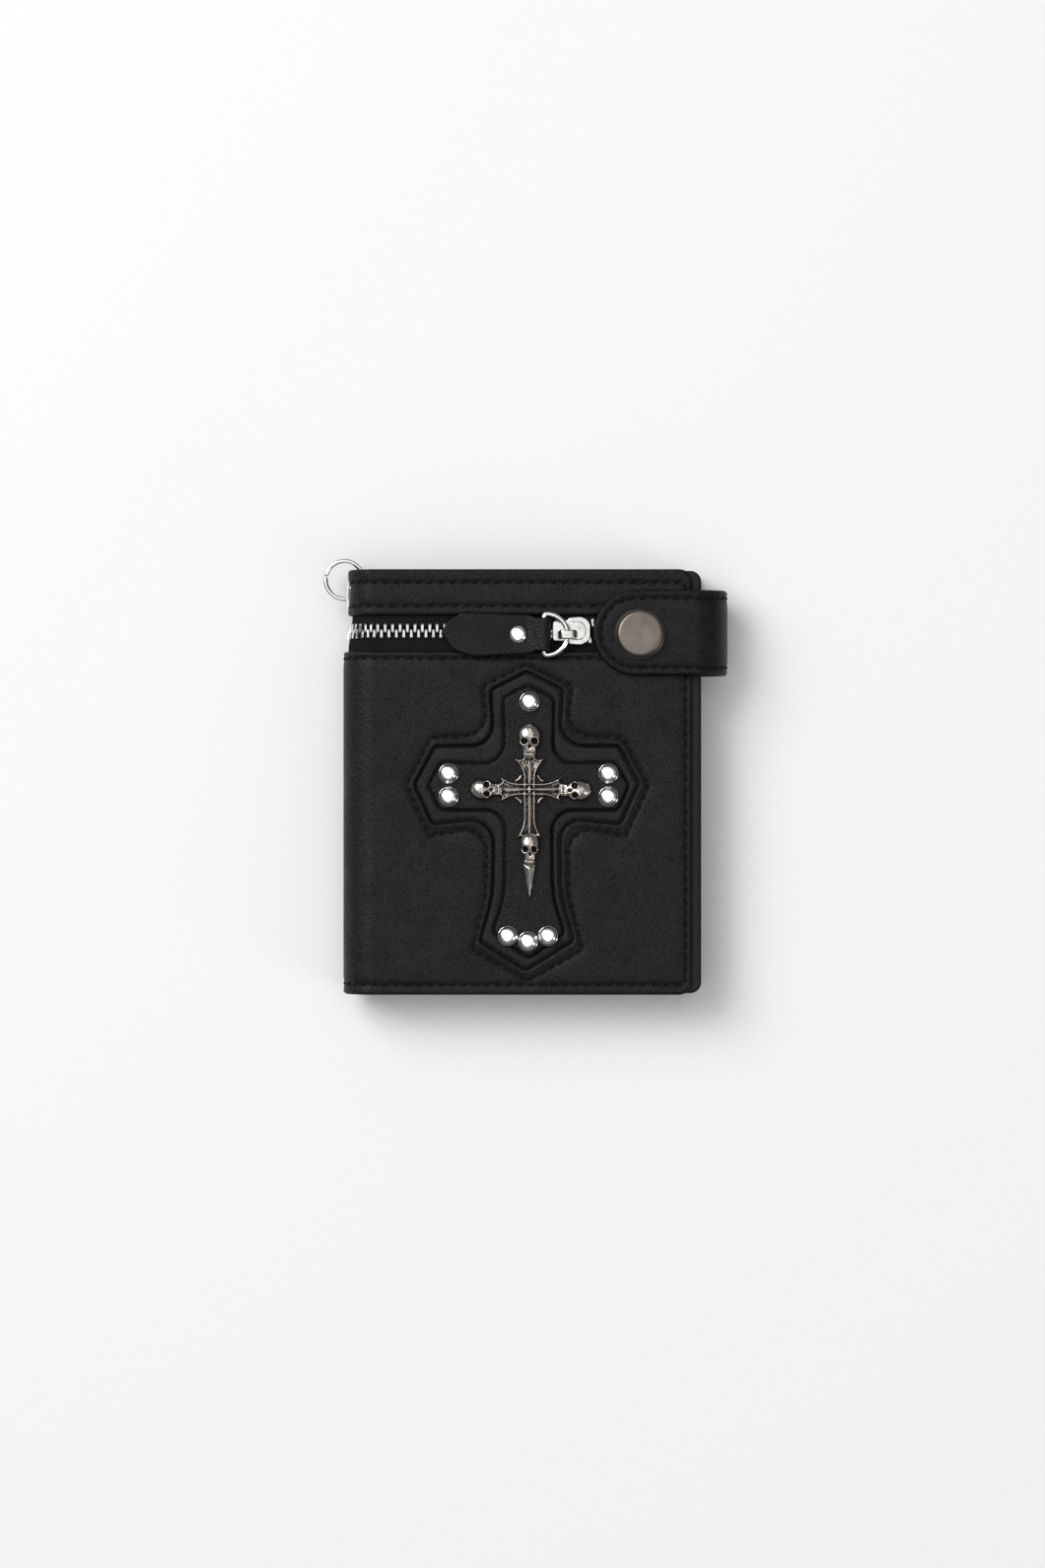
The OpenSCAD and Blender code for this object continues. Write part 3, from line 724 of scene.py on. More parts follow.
def cast_form(x, y):
    best = np.full(np.shape(x), -1e9)
    h = np.full(np.shape(x), 0.6)
    for angle, flare, wide in arms:
        u, v = turn_to(x, y, angle - 90, cast_at)
        d = inside(u, v, arm_outline(flare, wide))
        ridge = 0.85 + 0.95 * bell((d - 0.28) / 0.24) + 0.75 * bell(u / 0.4) * smooth_step((flare - v) / 1.2)
        h = np.where(d > 0, np.maximum(h, ridge), h)
        best = np.maximum(best, d)
    u, v = np.abs(x - cast_at[0]), np.abs(y - cast_at[1])
    ring = np.hypot(u - 4.2, v - 4.2)
    web = np.minimum(np.minimum(4.1 - u, 4.1 - v), ring - 1.35)
    h = np.where(web > 0, np.maximum(h, 0.6), h)
    best = np.maximum(best, web)
    thin = 0.46 - 0.2 * np.abs(u - v) / 2.5
    hook = np.clip(1 - (np.abs(ring - 1.85) / thin) ** 2, 0, 1) * (u < 4.4) * (v < 4.4)
    h = np.where(hook > 0, np.maximum(h, 0.7 + 1.1 * np.sqrt(hook)), h)
    for angle, cx, cy, wide, long in skulls:
        u, v = turn_to(x, y, angle, (cx, cy))
        d, form = skull_form(u / wide, v / long)
        h = np.where(d > 0, np.maximum(h, form), h)
        best = np.maximum(best, d * wide)
    spike = np.array([(0.1, -22.6), (3.75, -22.6), (3.3, -25.2), (2.9, -28.4), (1.95, -32.35),
                      (1.0, -28.4), (0.55, -25.2)])
    d = inside(x, y, spike)
    facet = 0.8 + 0.9 * np.clip(d / 1.3, 0, 1) + 0.15 * bell((x - 1.95) / 0.2)
    h = np.where(d > 0, np.maximum(h, facet), h)
    best = np.maximum(best, d)
    return best, h


def cast_height(x, y, d):
    """The relief, rounded down towards the casting's edge."""
    return np.minimum(cast_form(x, y)[1], 0.5 + 2.4 * np.sqrt(np.clip(d, 0, 9) + 0.01))


cast_cross = cut_sheet("cast_cross_metal", (-15.5, -33), (20.5, 17.5), 0.17,
                       lambda x, y: cast_form(x, y)[0], cast_height, 0.0, flat_on(plate_top + 0.02))
spots = np.array([v.co for v in cast_cross.data.vertices]) / MM
near, off = 0.45, 0.9
around = [(near, 0), (-near, 0), (0, near), (0, -near), (off, off), (-off, off), (off, -off), (-off, -off)]
mean = sum(cast_form(spots[:, 0] + dx, spots[:, 1] + dy)[1] for dx, dy in around) / len(around)
mark(cast_cross, "hollow", np.clip((mean - (spots[:, 2] - plate_top)) * 1.6 + 0.35, 0, 1))


def antiqued(name, bright, dark, rough):
    """Cast metal blackened in its hollows and rubbed bright on its high places."""
    material, tree, body, where = shader(name, rough, metal=1.0)
    blotch = texture(tree, "Noise", where, 0.7, Detail=4.0)
    sand = texture(tree, "Noise", where, 0.16, Detail=2.0)
    bump(tree, body, plus(tree, sand.outputs[0], blotch.outputs[0]), 0.02)
    shade = plus(tree, attribute(tree, "hollow"), spread(tree, blotch.outputs[0], 0.3, 0.7, -0.18, 0.18))
    shade = spread(tree, shade, 0.2, 0.75)
    coat(tree, body, shade, bright, dark)
    tree.links.new(spread(tree, shade, 0.0, 1.0, rough, rough + 0.3), body.inputs["Roughness"])
    return material


casting = antiqued("antiqued_casting", (0.5, 0.46, 0.42), (0.022, 0.02, 0.019), 0.2)
cast_cross.data.materials.append(casting)
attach(cast_cross, "front_half")
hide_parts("cast_cross")


# ---- Zip tapes --------------------------------------------------------------------
# Black woven tape behind the slot on both sides of the chain, with fine ribs across
# it. It follows the wallet round the spine and is sewn into the covers.

zip_y = 41.9
tape_depth = 1.55
tape_thick = 0.45
rib_pitch = 1.03


def tape_height(x, y, d):
    """Ribs across the tape, and a cord along the edge that the teeth grip."""
    cord = 0.35 * np.exp(-((np.abs(y - zip_y) - 1.5) / 0.5) ** 2)
    return 0.13 * np.cos(2 * math.pi * x / rib_pitch) + cord


def apart(x):
    """How far a row stands from the chain's middle line, past the slider's throat."""
    return smooth_step((x - 10.5) / 6.0) * 1.5


def tape_place(wrap):
    return lambda x, y, h: wrap(x, y, h - tape_depth)


def woven_tape():
    material, tree, body, where = shader("woven_tape", 0.75, specular=0.15)
    warp = texture(tree, "Wave", where, 0.9, wave_type="BANDS", bands_direction="Y", Distortion=0.6)
    weft = texture(tree, "Wave", where, 0.7, wave_type="BANDS", bands_direction="X", Distortion=0.4)
    fuzz = texture(tree, "Noise", where, 0.2, Detail=3.0)
    weave = maths(tree, "MULTIPLY", warp.outputs["Fac"], weft.outputs["Fac"])
    weave = plus(tree, weave, fuzz.outputs[0])
    bump(tree, body, weave, 0.05)
    coat(tree, body, spread(tree, weave, 0.3, 1.3), (0.002, 0.002, 0.002), (0.012, 0.012, 0.013))
    return material


tape_cloth = woven_tape()
tape_right = slot_x + 3.8
slots = {"front": (spine_wrap, "spine", "front_half", spine_side, spine_front),
         "back": (back_wrap, "back_half", "spine", spine_back, spine_side)}
for side, (wrap, first, second, start, end) in slots.items():
    for row, low, high in (("upper", zip_y + 1.0, slot_high + 3.6), ("lower", zip_y - 8.4, zip_y - 1.0)):
        edge_line = rectangle((beyond, low), (tape_right, high), [square, 0.3, 0.3, square])
        tape = cut_sheet(f"{side}_tape_{row}", (spine_mid, low - 0.3), (tape_right + 0.3, high + 0.3),
                         0.26, lambda x, y: inside(x, y, edge_line), tape_height, tape_thick,
                         tape_place(wrap), open_x=spine_mid)
        tape.data.materials.append(tape_cloth)
        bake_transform(tape)
        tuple(start)
        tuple(end)
        if row == "lower":
            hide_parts(f"{side}_zip_tapes", *(["spine_zip_tapes"] if side == "front" else []))


# ---- Zip teeth and stops ----------------------------------------------------------
# Stamped nickel teeth clamped on each tape's cord, one row half a pitch on from the
# other so that their heads interlock. Stops close both ends of the chain.

tooth_pitch = 2.06
tooth_depth = 1.75


def tooth_form(leg, head):
    """A tooth that points at -Y: two legs over the cord and a nib with a hollow."""
    right = [(leg / 2, 2.1), (leg * 0.46, 0.75), (head / 2, 0.3), (head / 2, -0.35), (head / 4, -0.62)]
    outline = np.array(right + [(-x, y) for x, y in reversed(right)])
    n = len(outline)
    layers = [(-1.05, 0.8), (-0.9, 1.0), (0.62, 1.0), (0.95, 0.9), (1.1, 0.68)]
    middle, nib_top = np.array([0, 0.7]), (0, 0.75, 1.13)
    points = [(*p, z) for z, grow in layers for p in middle + (outline - middle) * grow] + [nib_top]
    faces = ring_faces(len(layers), n)[:-1]
    top = (len(layers) - 1) * n
    faces += [[top + i, top + (i + 1) % n, len(points) - 1] for i in range(n)]
    return np.array(points), faces


def tooth_parts(wrap, side, parted, seed):
    rng = np.random.default_rng(seed)
    points, faces = tooth_form(1.02, 0.86)
    parts = []
    s = spine_mid + (0.5 if side > 0 else 1.5) * tooth_pitch / 2 + 0.06
    while s < slot_x - 2.4:
        tilt = rng.normal(0, 0.02) + (0.12 * side * smooth_step((s - 13) / 5) if parted else 0)
        x = s + points[:, 0] * math.cos(tilt) - points[:, 1] * math.sin(tilt)
        y = side * (points[:, 1] + points[:, 0] * math.sin(tilt) + (apart(s) if parted else 0)) + zip_y
        h = points[:, 2] - tooth_depth + rng.normal(0, 0.02)
        parts.append((wrap(x, y, h), faces))
        s += tooth_pitch
    return parts


zip_nickel = bright_metal("zip_nickel", (0.72, 0.71, 0.7), 0.12, 0.35)
for side, (wrap, first, second, start, end) in slots.items():
    for row, sign in (("upper", 1), ("lower", -1)):
        parts = tooth_parts(wrap, sign, side == "front", 10 + sign)
        teeth = joined(f"{side}_teeth_{row}_nickel", parts, zip_nickel)
        teeth.data.shade_flat()
        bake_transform(teeth)
        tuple(start)
        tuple(end)
        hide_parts(f"{side}_teeth_{row}", *([f"spine_teeth_{row}"] if side == "front" else []))


def rounded_block(low, high, r=0.25):
    """A block with soft edges, as stamped metal has."""
    bm = bmesh.new()
    bmesh.ops.create_cube(bm, size=1)
    middle, size = (np.array(low) + high) / 2, np.array(high) - low
    for v in bm.verts:
        v.co = tuple(np.array(v.co) * size + middle)
    bmesh.ops.bevel(bm, geom=bm.edges[:], offset=r, segments=3, affect="EDGES", profile=0.6)
    bm.verts.ensure_lookup_table()
    points = np.array([v.co for v in bm.verts])
    faces = [[v.index for v in f.verts] for f in bm.faces]
    bm.free()
    return points, faces


low, high = corners("back_bottom_stop")
back_stop = joined("back_bottom_stop_nickel", [rounded_block(low, high)], zip_nickel)
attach(back_stop, "back_half")
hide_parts("back_bottom_stop")
low, high = corners("front_top_stops")
stop_wide = 1.8
front_stops = joined("front_top_stops_nickel",
                     [rounded_block(low, (high[0], low[1] + stop_wide, high[2])),
                      rounded_block((low[0], high[1] - stop_wide, low[2]), high)], zip_nickel)
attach(front_stops, "front_half")
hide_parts("front_top_stops")


# ---- Zip slider ----------------------------------------------------------------------
# A die-cast body of two plates round the chain: narrow where the chain leaves closed,
# round at the throat end. A bridge on its top holds the pull.


def solid_block(outline, layers):
    """An outline stacked in layers of (height, inset), for cast metal with soft edges."""
    ahead = np.roll(outline, -1, 0) - np.roll(outline, 1, 0)
    normal = np.stack([ahead[:, 1], -ahead[:, 0]], 1) / np.maximum(np.hypot(*ahead.T), 1e-9)[:, None]
    points = [np.column_stack([outline - normal * inset, np.full(len(outline), z)]) for z, inset in layers]
    return np.concatenate(points), ring_faces(len(layers), len(outline))


def soft_layers(low, high, r):
    """Layers with rounded lower and upper edges of radius r."""
    turn = [0, 0.35, 0.7, 1.05, 1.4, math.pi / 2]
    up = [(low + r * (1 - math.sin(t)), r * (1 - math.cos(t))) for t in reversed(turn)]
    down = [(high - r * (1 - math.sin(t)), r * (1 - math.cos(t))) for t in turn]
    return sorted(up) + sorted(down)


slider_top = corners("zip_slider")[1][2]
slider_half = [(8.2, 2.75, 1.0), (12.2, 3.0, 1.5), (13.2, 3.75, 1.0), (16.4, 4.0, 2.5), (18.9, 2.6, 2.2)]
slider_line = rounded([(x, zip_y - y) for x, y, r in slider_half]
                      + [(x, zip_y + y) for x, y, r in reversed(slider_half)],
                      [r for x, y, r in slider_half + slider_half[::-1]])
shoulder = rectangle((12.9, zip_y - 2.6), (17.6, zip_y + 2.6), [1.4, 2.2, 2.2, 1.4])
plate_top_z, plate_low_z = 18.4, 14.2
post = rounded([(15.4, zip_y - 0.8), (18.2, zip_y - 0.25), (18.2, zip_y + 0.25), (15.4, zip_y + 0.8)],
               [0.3, 0.2, 0.2, 0.3])
pull_y = zip_y - 1.1
bridge_x0, bridge_x1 = 8.6, 16.4
bridge_foot = plate_top_z - 0.2
arch = []
for t in np.linspace(0, 1, 25):
    rise = 1 - abs(2 * t - 1) ** 5
    arch.append((bridge_x0 + 0.9 + (bridge_x1 - bridge_x0 - 1.8) * t,
                 bridge_foot + (slider_top - bridge_foot) * rise))


def bridge_part():
    """A flat bar with rounded edges, bent into a low arch along X."""
    points, sides = [], 12
    for i, (x, z) in enumerate(arch):
        a, b = arch[max(i - 1, 0)], arch[min(i + 1, len(arch) - 1)]
        lean = math.atan2(b[1] - a[1], b[0] - a[0])
        for j in range(sides):
            turn = (j + 0.5) * 2 * math.pi / sides
            across = 1.3 * abs(math.cos(turn)) ** 0.45 * math.copysign(1, math.cos(turn))
            up = 0.425 * abs(math.sin(turn)) ** 0.6 * math.copysign(1, math.sin(turn)) - 0.43
            points.append((x - up * math.sin(lean), pull_y + across, z + up * math.cos(lean)))
    return np.array(points), ring_faces(len(arch), sides)


slider_nickel = bright_metal("slider_nickel", (0.74, 0.73, 0.71), 0.1, 0.5, waves=26.0)
slider = joined("zip_slider_nickel",
                [solid_block(slider_line, soft_layers(plate_low_z, plate_low_z + 0.85, 0.3)),
                 solid_block(slider_line, soft_layers(plate_top_z - 0.95, plate_top_z, 0.35)),
                 solid_block(shoulder, soft_layers(plate_top_z - 0.4, plate_top_z + 0.45, 0.3)),
                 solid_block(post, soft_layers(plate_low_z + 0.5, plate_top_z - 0.5, 0.1)),
                 bridge_part()], slider_nickel)
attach(slider, "zip_slider")
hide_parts("zip_slider")


# ---- Pull ring ------------------------------------------------------------------------
# A D of plated wire: its round side passes under the slider's bridge and its straight
# side lies in the fold of the leather tab. The bend at each corner is tight.

pull_z, pull_wire, pull_r, ring_axis_x, pull_bar_x = 19.85, 1.5, 5.65, 12.45, 6.0
bow_x = ring_axis_x - pull_r


def wire_part(path, r, closed=True, sides=14, ends=None):
    """A round wire along a path of points, its two ends butted if it isn't closed."""
    path = np.array(path, float)
    n = len(path)
    ahead = np.roll(path, -1, 0) - np.roll(path, 1, 0)
    if not closed:
        ahead[0], ahead[-1] = path[1] - path[0], path[-1] - path[-2]
    ahead /= np.linalg.norm(ahead, axis=1)[:, None]
    up = np.array([0.03, 0.05, 1.0])
    side = np.cross(ahead, up)
    side /= np.linalg.norm(side, axis=1)[:, None]
    lift = np.cross(side, ahead)
    radii = np.full(n, r) if ends is None else r * np.array(ends)
    a = np.arange(sides) * 2 * math.pi / sides
    points = (path[:, None] + radii[:, None, None] * (np.cos(a)[None, :, None] * side[:, None]
                                                      + np.sin(a)[None, :, None] * lift[:, None]))
    return points.reshape(-1, 3), ring_faces(n, sides, closed=closed)


bow = [(bow_x + pull_r * math.cos(t), pull_y + pull_r * math.sin(t), pull_z)
       for t in np.linspace(-math.pi / 2, math.pi / 2, 41)]
upper = [(pull_bar_x + 0.35, pull_y + pull_r - 0.05, pull_z), (pull_bar_x, pull_y + pull_r - 0.5, pull_z)]
middle = [(pull_bar_x, pull_y + y, pull_z) for y in np.linspace(pull_r - 1.4, 1.4 - pull_r, 9)]
lower = [(x, 2 * pull_y - y, z) for x, y, z in reversed(upper)]
straight = upper + middle + lower
ring_nickel = bright_metal("ring_nickel", (0.86, 0.85, 0.83), 0.09, 0.25)
pull_ring = joined("pull_ring_wire", [wire_part(bow + straight, pull_wire / 2)], ring_nickel)
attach(pull_ring, "pull_ring")
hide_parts("pull_ring")


# ---- Pull tab and its rivet -------------------------------------------------------------
# One strip of hide folded over the ring's straight side and closed flat on itself, both
# ends cut to the same point. A dome rivet near the fold holds the two layers together.

tab_skin = 1.1
tab_tip, tab_under = corners("pull_tab")[0][[0, 2]]
fold_r = pull_z - tab_under
fold_s = pull_bar_x + fold_r * math.pi
tab_flat = 20.25
far = pull_bar_x + fold_s
rivet_x = -1.2
tab_lower = [(tab_tip, 0.6, 1.2), (-19.3, -4.5, 6), (-13.5, -6.15, 8), (2, -5.4, 1), (3.4, -4.7, 1)]
tab_upper = [(3.4, 4.7, 1), (2, 5.5, 1), (-16.5, 6.2, 4), (-20.3, 4.4, 5)]
tab_corners = tab_lower + [(far - s, y, r) for s, y, r in reversed(tab_lower)]
tab_corners += [(far - s, y, r) for s, y, r in reversed(tab_upper)] + tab_upper
tab_line = rounded([(s, pull_y + y) for s, y, r in tab_corners], [r for s, y, r in tab_corners])


def tab_wrap(s, y, h):
    """Run s along the upper layer, round the ring's bar and back along the lower one."""
    lift = (pull_z + fold_r - tab_flat) * smooth_step((s - 1.2) / (pull_bar_x - 1.2))
    turn = np.clip((s - pull_bar_x) / fold_r, 0, math.pi)
    upper, lower = s < pull_bar_x, s > fold_s
    x = np.select([upper, lower], [s, far - s], pull_bar_x + (fold_r + h) * np.sin(turn))
    z = np.select([upper, lower], [tab_flat + lift + h, tab_under - h],
                  pull_z + (fold_r + h) * np.cos(turn))
    return np.stack([x, y, z], -1)


def tab_height(s, y, d):
    off = y - pull_y
    creases = bell((s - 4.3 - 0.4 * np.sin(off)) / 0.3) + 0.7 * bell((s - 2.9 + 0.1 * off) / 0.3)
    pressed = 0.35 * bell(np.hypot(s - rivet_x, off) / 3.2)
    return edge_roll(d, 0.45) - (0.16 * creases + pressed) * (s < pull_bar_x)


pull_tab = cut_sheet("pull_tab_leather", (tab_tip - 0.4, pull_y - 6.4),
                     (far - tab_tip + 0.4, pull_y + 6.4), 0.36,
                     lambda s, y: inside(s, y, tab_line), tab_height, tab_skin, tab_wrap)
tab_hide = black_leather("tab_hide", (0.0025, 0.0025, 0.0028), (0.009, 0.009, 0.0092), 0.42, 0.5, 0.12)
pull_tab.data.materials.append(tab_hide)
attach(pull_tab, "pull_tab")
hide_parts("pull_tab")

rivet_rise = corners("pull_tab_rivet")[1][2] - tab_flat
rivet_profile = [(2.4, tab_under + 0.02), (2.5, tab_under + 0.3), (1.1, tab_under + 0.35),
                 (1.1, tab_flat - 0.4), (2.45, tab_flat - 0.35), (2.5, tab_flat - 0.1)]
for tilt in np.linspace(0, math.pi / 2, 11):
    rivet_profile.append((2.45 * abs(math.cos(tilt)) ** 0.6 + 0.001,
                          tab_flat + rivet_rise * math.sin(tilt)))
tab_rivet = joined("pull_tab_rivet_nickel", [turned(rivet_profile, (rivet_x, pull_y, 0))], nickel)
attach(tab_rivet, "pull_tab")
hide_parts("pull_tab_rivet")


# ---- Strap -------------------------------------------------------------------------------
# A strap of hide with a thinner lining glued behind it and thread 2.2 mm inside its edge.
# Its tail is sewn into the back half; it bends round the free edge onto the front.

strap_y = zip_y - 0.55
strap_half = 11.8
strap_end = 31.4
strap_arc_x, strap_arc_z, strap_arc_r = 47.6, 11.0, 9.5
strap_thick, strap_skin = 2.4, 1.3
strap_mid = strap_arc_x + strap_arc_r * math.pi / 2
snap_at = (32.5, 41.0, 0)
tail_x = corners("strap_tail")[0][0]


def strap_wrap(s, y, h):
    turn = np.maximum(0, s - strap_arc_x) / strap_arc_r
    r = strap_arc_r + h
    x = np.where(turn > 0, strap_arc_x + r * np.sin(turn), s)
    return np.stack([x, y, np.where(turn > 0, strap_arc_z + r * np.cos(turn), strap_arc_z + r)], -1)


def strap_low_wrap(s, y, h):
    return strap_wrap(s, y, h) * [1, 1, -1] + [0, 0, 2 * strap_arc_z]


def flap_outline(inset):
    half = strap_half - inset
    bow = [(strap_end - half * math.cos(t), strap_y + half * math.sin(t))
           for t in np.linspace(-math.pi / 2, math.pi / 2, 37)]
    return np.array([(-beyond, strap_y - half)] + bow + [(-beyond, strap_y + half)])


thread_in = 2.2
flap_line = flap_outline(0)
flap_thread = np.array([(min(p[0], strap_mid), p[1]) for p in flap_outline(thread_in)])
tail_line = np.array([(-beyond, strap_y - strap_half), (tail_x, strap_y - strap_half),
                      (tail_x, strap_y + strap_half), (-beyond, strap_y + strap_half)])
tail_threads = [np.array([(strap_mid, y), (51.5, y)])
                for y in (strap_y - strap_half + thread_in, strap_y + strap_half - thread_in)]
strap_hide = black_leather("strap_hide", (0.0025, 0.0025, 0.0027), (0.0085, 0.0085, 0.0087), 0.42, 0.5, 0.12)
inner_hide = black_leather("inner_hide", (0.006, 0.006, 0.0063), (0.011, 0.011, 0.0113), 0.5, 0.45, 0.04)
strap_out = ((strap_arc_x + strap_arc_r) * MM, 0, strap_arc_z * MM)
bend_high = ("strap_side", "strap_flap", strap_out, (strap_arc_x * MM, 0, (strap_arc_z + strap_arc_r) * MM))
bend_low = ("back_half", "strap_side", (strap_arc_x * MM, 0, (strap_arc_z - strap_arc_r) * MM), strap_out)


def pressed_cap(x, y):
    """The snap pulls the strap down a little round its cap."""
    return -0.3 * bell(np.hypot(x - snap_at[0], y - snap_at[1]) / 8.0)


for name, line, threads, wrap, start, bend, nodes in (
        ("flap", flap_line, [flap_thread], strap_wrap, strap_end - strap_half, bend_high,
         (["strap_flap_leather"], ["strap_flap_lining"])),
        ("tail", tail_line, tail_threads, strap_low_wrap, tail_x, bend_low,
         (["strap_side_leather", "strap_tail"], ["strap_side_lining"]))):
    def top(x, y):
        return thread_ditch(x, y, threads, 0.32) + (pressed_cap(x, y) if name == "flap" else 0)

    def flat_wrap(s, y, h):
        return wrap(s, y, -strap_thick - h)

    low = (strap_mid - math.ceil((strap_mid - start + 0.4) / 0.5) * 0.5, strap_y - strap_half - 0.4)
    high = (strap_mid, strap_y + strap_half + 0.4)
    skin = cut_sheet(f"strap_{name}_skin", low, high, 0.5, lambda x, y: inside(x, y, line),
                     lambda x, y, d: edge_roll(d) + top(x, y), strap_skin, wrap,
                     open_x=strap_mid, rows=threads)
    skin.data.materials.append(strap_hide)
    lining = cut_sheet(f"strap_{name}_lining_skin", low, high, 0.6, lambda x, y: inside(x, y, line),
                       lambda x, y, d: edge_roll(d, 0.5), strap_thick - strap_skin, flat_wrap,
                       open_x=strap_mid)
    lining.data.materials.append(inner_hide)
    thread = stitches(f"strap_{name}_stitching", [(t, 3.1, top, wrap) for t in threads], 7)
    for piece in (skin, lining, thread):
        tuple(bend[2])
        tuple(bend[3])
        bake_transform(piece)
    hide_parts(*nodes[0])
    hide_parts(*nodes[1])


# ---- Snap fastener --------------------------------------------------------------------------
# A capped socket through the strap's end and a stud through the front cover. The cap is
# brushed antique nickel, a little worn, with a plain skirt round it.

flap_top = strap_arc_z + strap_arc_r
cap_top = corners("snap_cap")[1][2]
cap_profile = [(2.0, flap_top - 0.5), (6.9, flap_top - 0.35), (7.0, flap_top - 0.1), (6.85, flap_top + 0.12),
               (6.5, flap_top + 0.22), (6.42, flap_top + 0.5), (6.5, flap_top + 1.1), (6.45, flap_top + 1.7),
               (6.2, cap_top - 0.35), (5.85, cap_top - 0.12), (5.4, cap_top - 0.05), (4.6, cap_top - 0.03),
               (2.5, cap_top), (0.01, cap_top)]


def antique_cap():
    """Nickel brushed one way under an uneven brown film."""
    material, tree, body, where = shader("antique_cap", 0.34, metal=1.0)
    brush = texture(tree, "Noise", stretched(tree, where, (1.0, 0.05, 1.0), (0, 0, 0.08)), 0.12, Detail=4.0)
    film = texture(tree, "Noise", where, 7.0, Detail=4.0, Roughness=0.5, Distortion=0.2)
    bump(tree, body, brush.outputs[0], 0.012)
    coat(tree, body, spread(tree, film.outputs[0], 0.38, 0.68), (0.2, 0.172, 0.148), (0.115, 0.1, 0.09))
    tree.links.new(spread(tree, brush.outputs[0], 0.3, 0.7, 0.3, 0.46), body.inputs["Roughness"])
    return material


cap_metal = antique_cap()
snap_cap = joined("snap_cap_nickel", [turned(cap_profile, snap_at, 72)], cap_metal)
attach(snap_cap, "strap_flap")
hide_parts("snap_cap")

low, high = corners("snap_socket")[0][2], corners("snap_socket")[1][2]
socket_profile = [(2.1, low + 0.12), (2.4, low), (3.2, low + 0.02), (3.5, low + 0.2), (4.3, low + 0.25),
                  (4.6, low + 0.45), (4.6, high - 0.1), (4.3, high), (2.1, high), (2.1, low + 0.12)]
snap_socket = joined("snap_socket_nickel", [turned(socket_profile, snap_at, 56)], cap_metal)
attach(snap_socket, "strap_flap")
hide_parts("snap_socket")

low, high = corners("snap_stud")[0][2], corners("snap_stud")[1][2]
stud_line = [(0.01, low), (3.4, low), (3.6, low + 0.2), (3.6, low + 0.55), (3.4, low + 0.7),
             (1.5, low + 0.75), (1.35, high - 0.8), (1.6, high - 0.5), (1.6, high - 0.25),
             (1.3, high), (0.01, high)]
snap_stud = joined("snap_stud_nickel", [turned(stud_line, snap_at, 48)], cap_metal)
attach(snap_stud, "front_half")
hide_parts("snap_stud")


# ---- Chain ring and its eyelet -----------------------------------------------------------------
# A brass-cored nickel eyelet is rolled over a washer in the wall of the top strip. A split
# ring of wire, its ends butted, hangs through it for a chain.

spine_out = spine_x - spine_r
eyelet_at = np.array([strip_in + spine_out, top_edge - eyelet_drop, spine_r])
bore = 2.6
eyelet_line = [(bore, 2.65), (bore, -0.1), (bore + 0.12, -0.35), (bore + 0.5, -0.52), (bore + 1.0, -0.5),
               (bore + 1.4, -0.32), (bore + 1.6, -0.05), (bore + 1.55, 0.08), (bore + 0.42, 0.1),
               (bore + 0.42, 2.65), (bore, 2.65)]
points, faces = turned(eyelet_line, eyelet_at, 56, along_x=True)
off = points - eyelet_at
wall_r = spine_r - strip_in
sag = wall_r - np.sqrt(wall_r ** 2 - np.clip(np.abs(off[:, 2]), 0, 5) ** 2)
points[:, 0] += sag * smooth_step((np.hypot(off[:, 1], off[:, 2]) - bore) / 1.2)
eyelet = joined("chain_eyelet_nickel", [(points, faces)], ring_nickel)
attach(eyelet, "spine")
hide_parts("chain_eyelet")

washer_x = corners("eyelet_washer")[0][0] - eyelet_at[0]
washer_line = [(bore + 0.5, washer_x), (bore + 0.8, washer_x - 0.02), (3.4, washer_x + 0.08),
               (3.5, washer_x + 0.3), (3.3, washer_x + 0.4), (bore + 0.5, washer_x + 0.4),
               (bore + 0.5, washer_x)]
washer = joined("eyelet_washer_nickel", [turned(washer_line, eyelet_at, 48, along_x=True)], ring_nickel)
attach(washer, "spine")
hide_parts("eyelet_washer")

chain_at = np.array([spine_out + 0.3, top_edge - 2.6, spine_r])
chain_r, chain_wire = 5.3, 1.4
gap = 0.15 / chain_r
loop = [chain_at + (chain_r * math.cos(t), chain_r * math.sin(t), 0.0)
        for t in math.radians(170) + np.linspace(gap, 2 * math.pi - gap, 97)]
ends = [0.8, 0.95] + [1.0] * 93 + [0.95, 0.8]
wire = wire_part(loop, chain_wire / 2, closed=False, ends=ends)
chain_ring = joined("chain_ring_wire", [wire], ring_nickel)
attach(chain_ring, "chain_ring")
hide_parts("chain_ring")


# ---- Edge welts ------------------------------------------------------------------------------
# Three strips of hide stacked inside each cover's edge, which give the wallet its depth.
# Their raw edges are dyed black; the back ones stop either side of the strap's tail.


def frame_line(right, inset):
    return panel_outline(right - 0.4 - inset, 3.0 - inset / 2, top_edge - 0.4 - inset)


def cut_edges(name, colour, rough):
    """Dyed cut edges of leather: fibres along the layer, waxed and a little dusty."""
    material, tree, body, where = shader(name, rough, specular=0.2)
    fibres = texture(tree, "Noise", stretched(tree, where, (0.35, 0.35, 2.5), (0, 0, 0)), 0.25, Detail=4.0)
    wax = texture(tree, "Noise", where, 2.5, Detail=3.0)
    bump(tree, body, plus(tree, fibres.outputs[0], wax.outputs[0]), 0.05)
    coat(tree, body, spread(tree, fibres.outputs[0], 0.35, 0.7), colour, tuple(2.4 * c for c in colour))
    return material


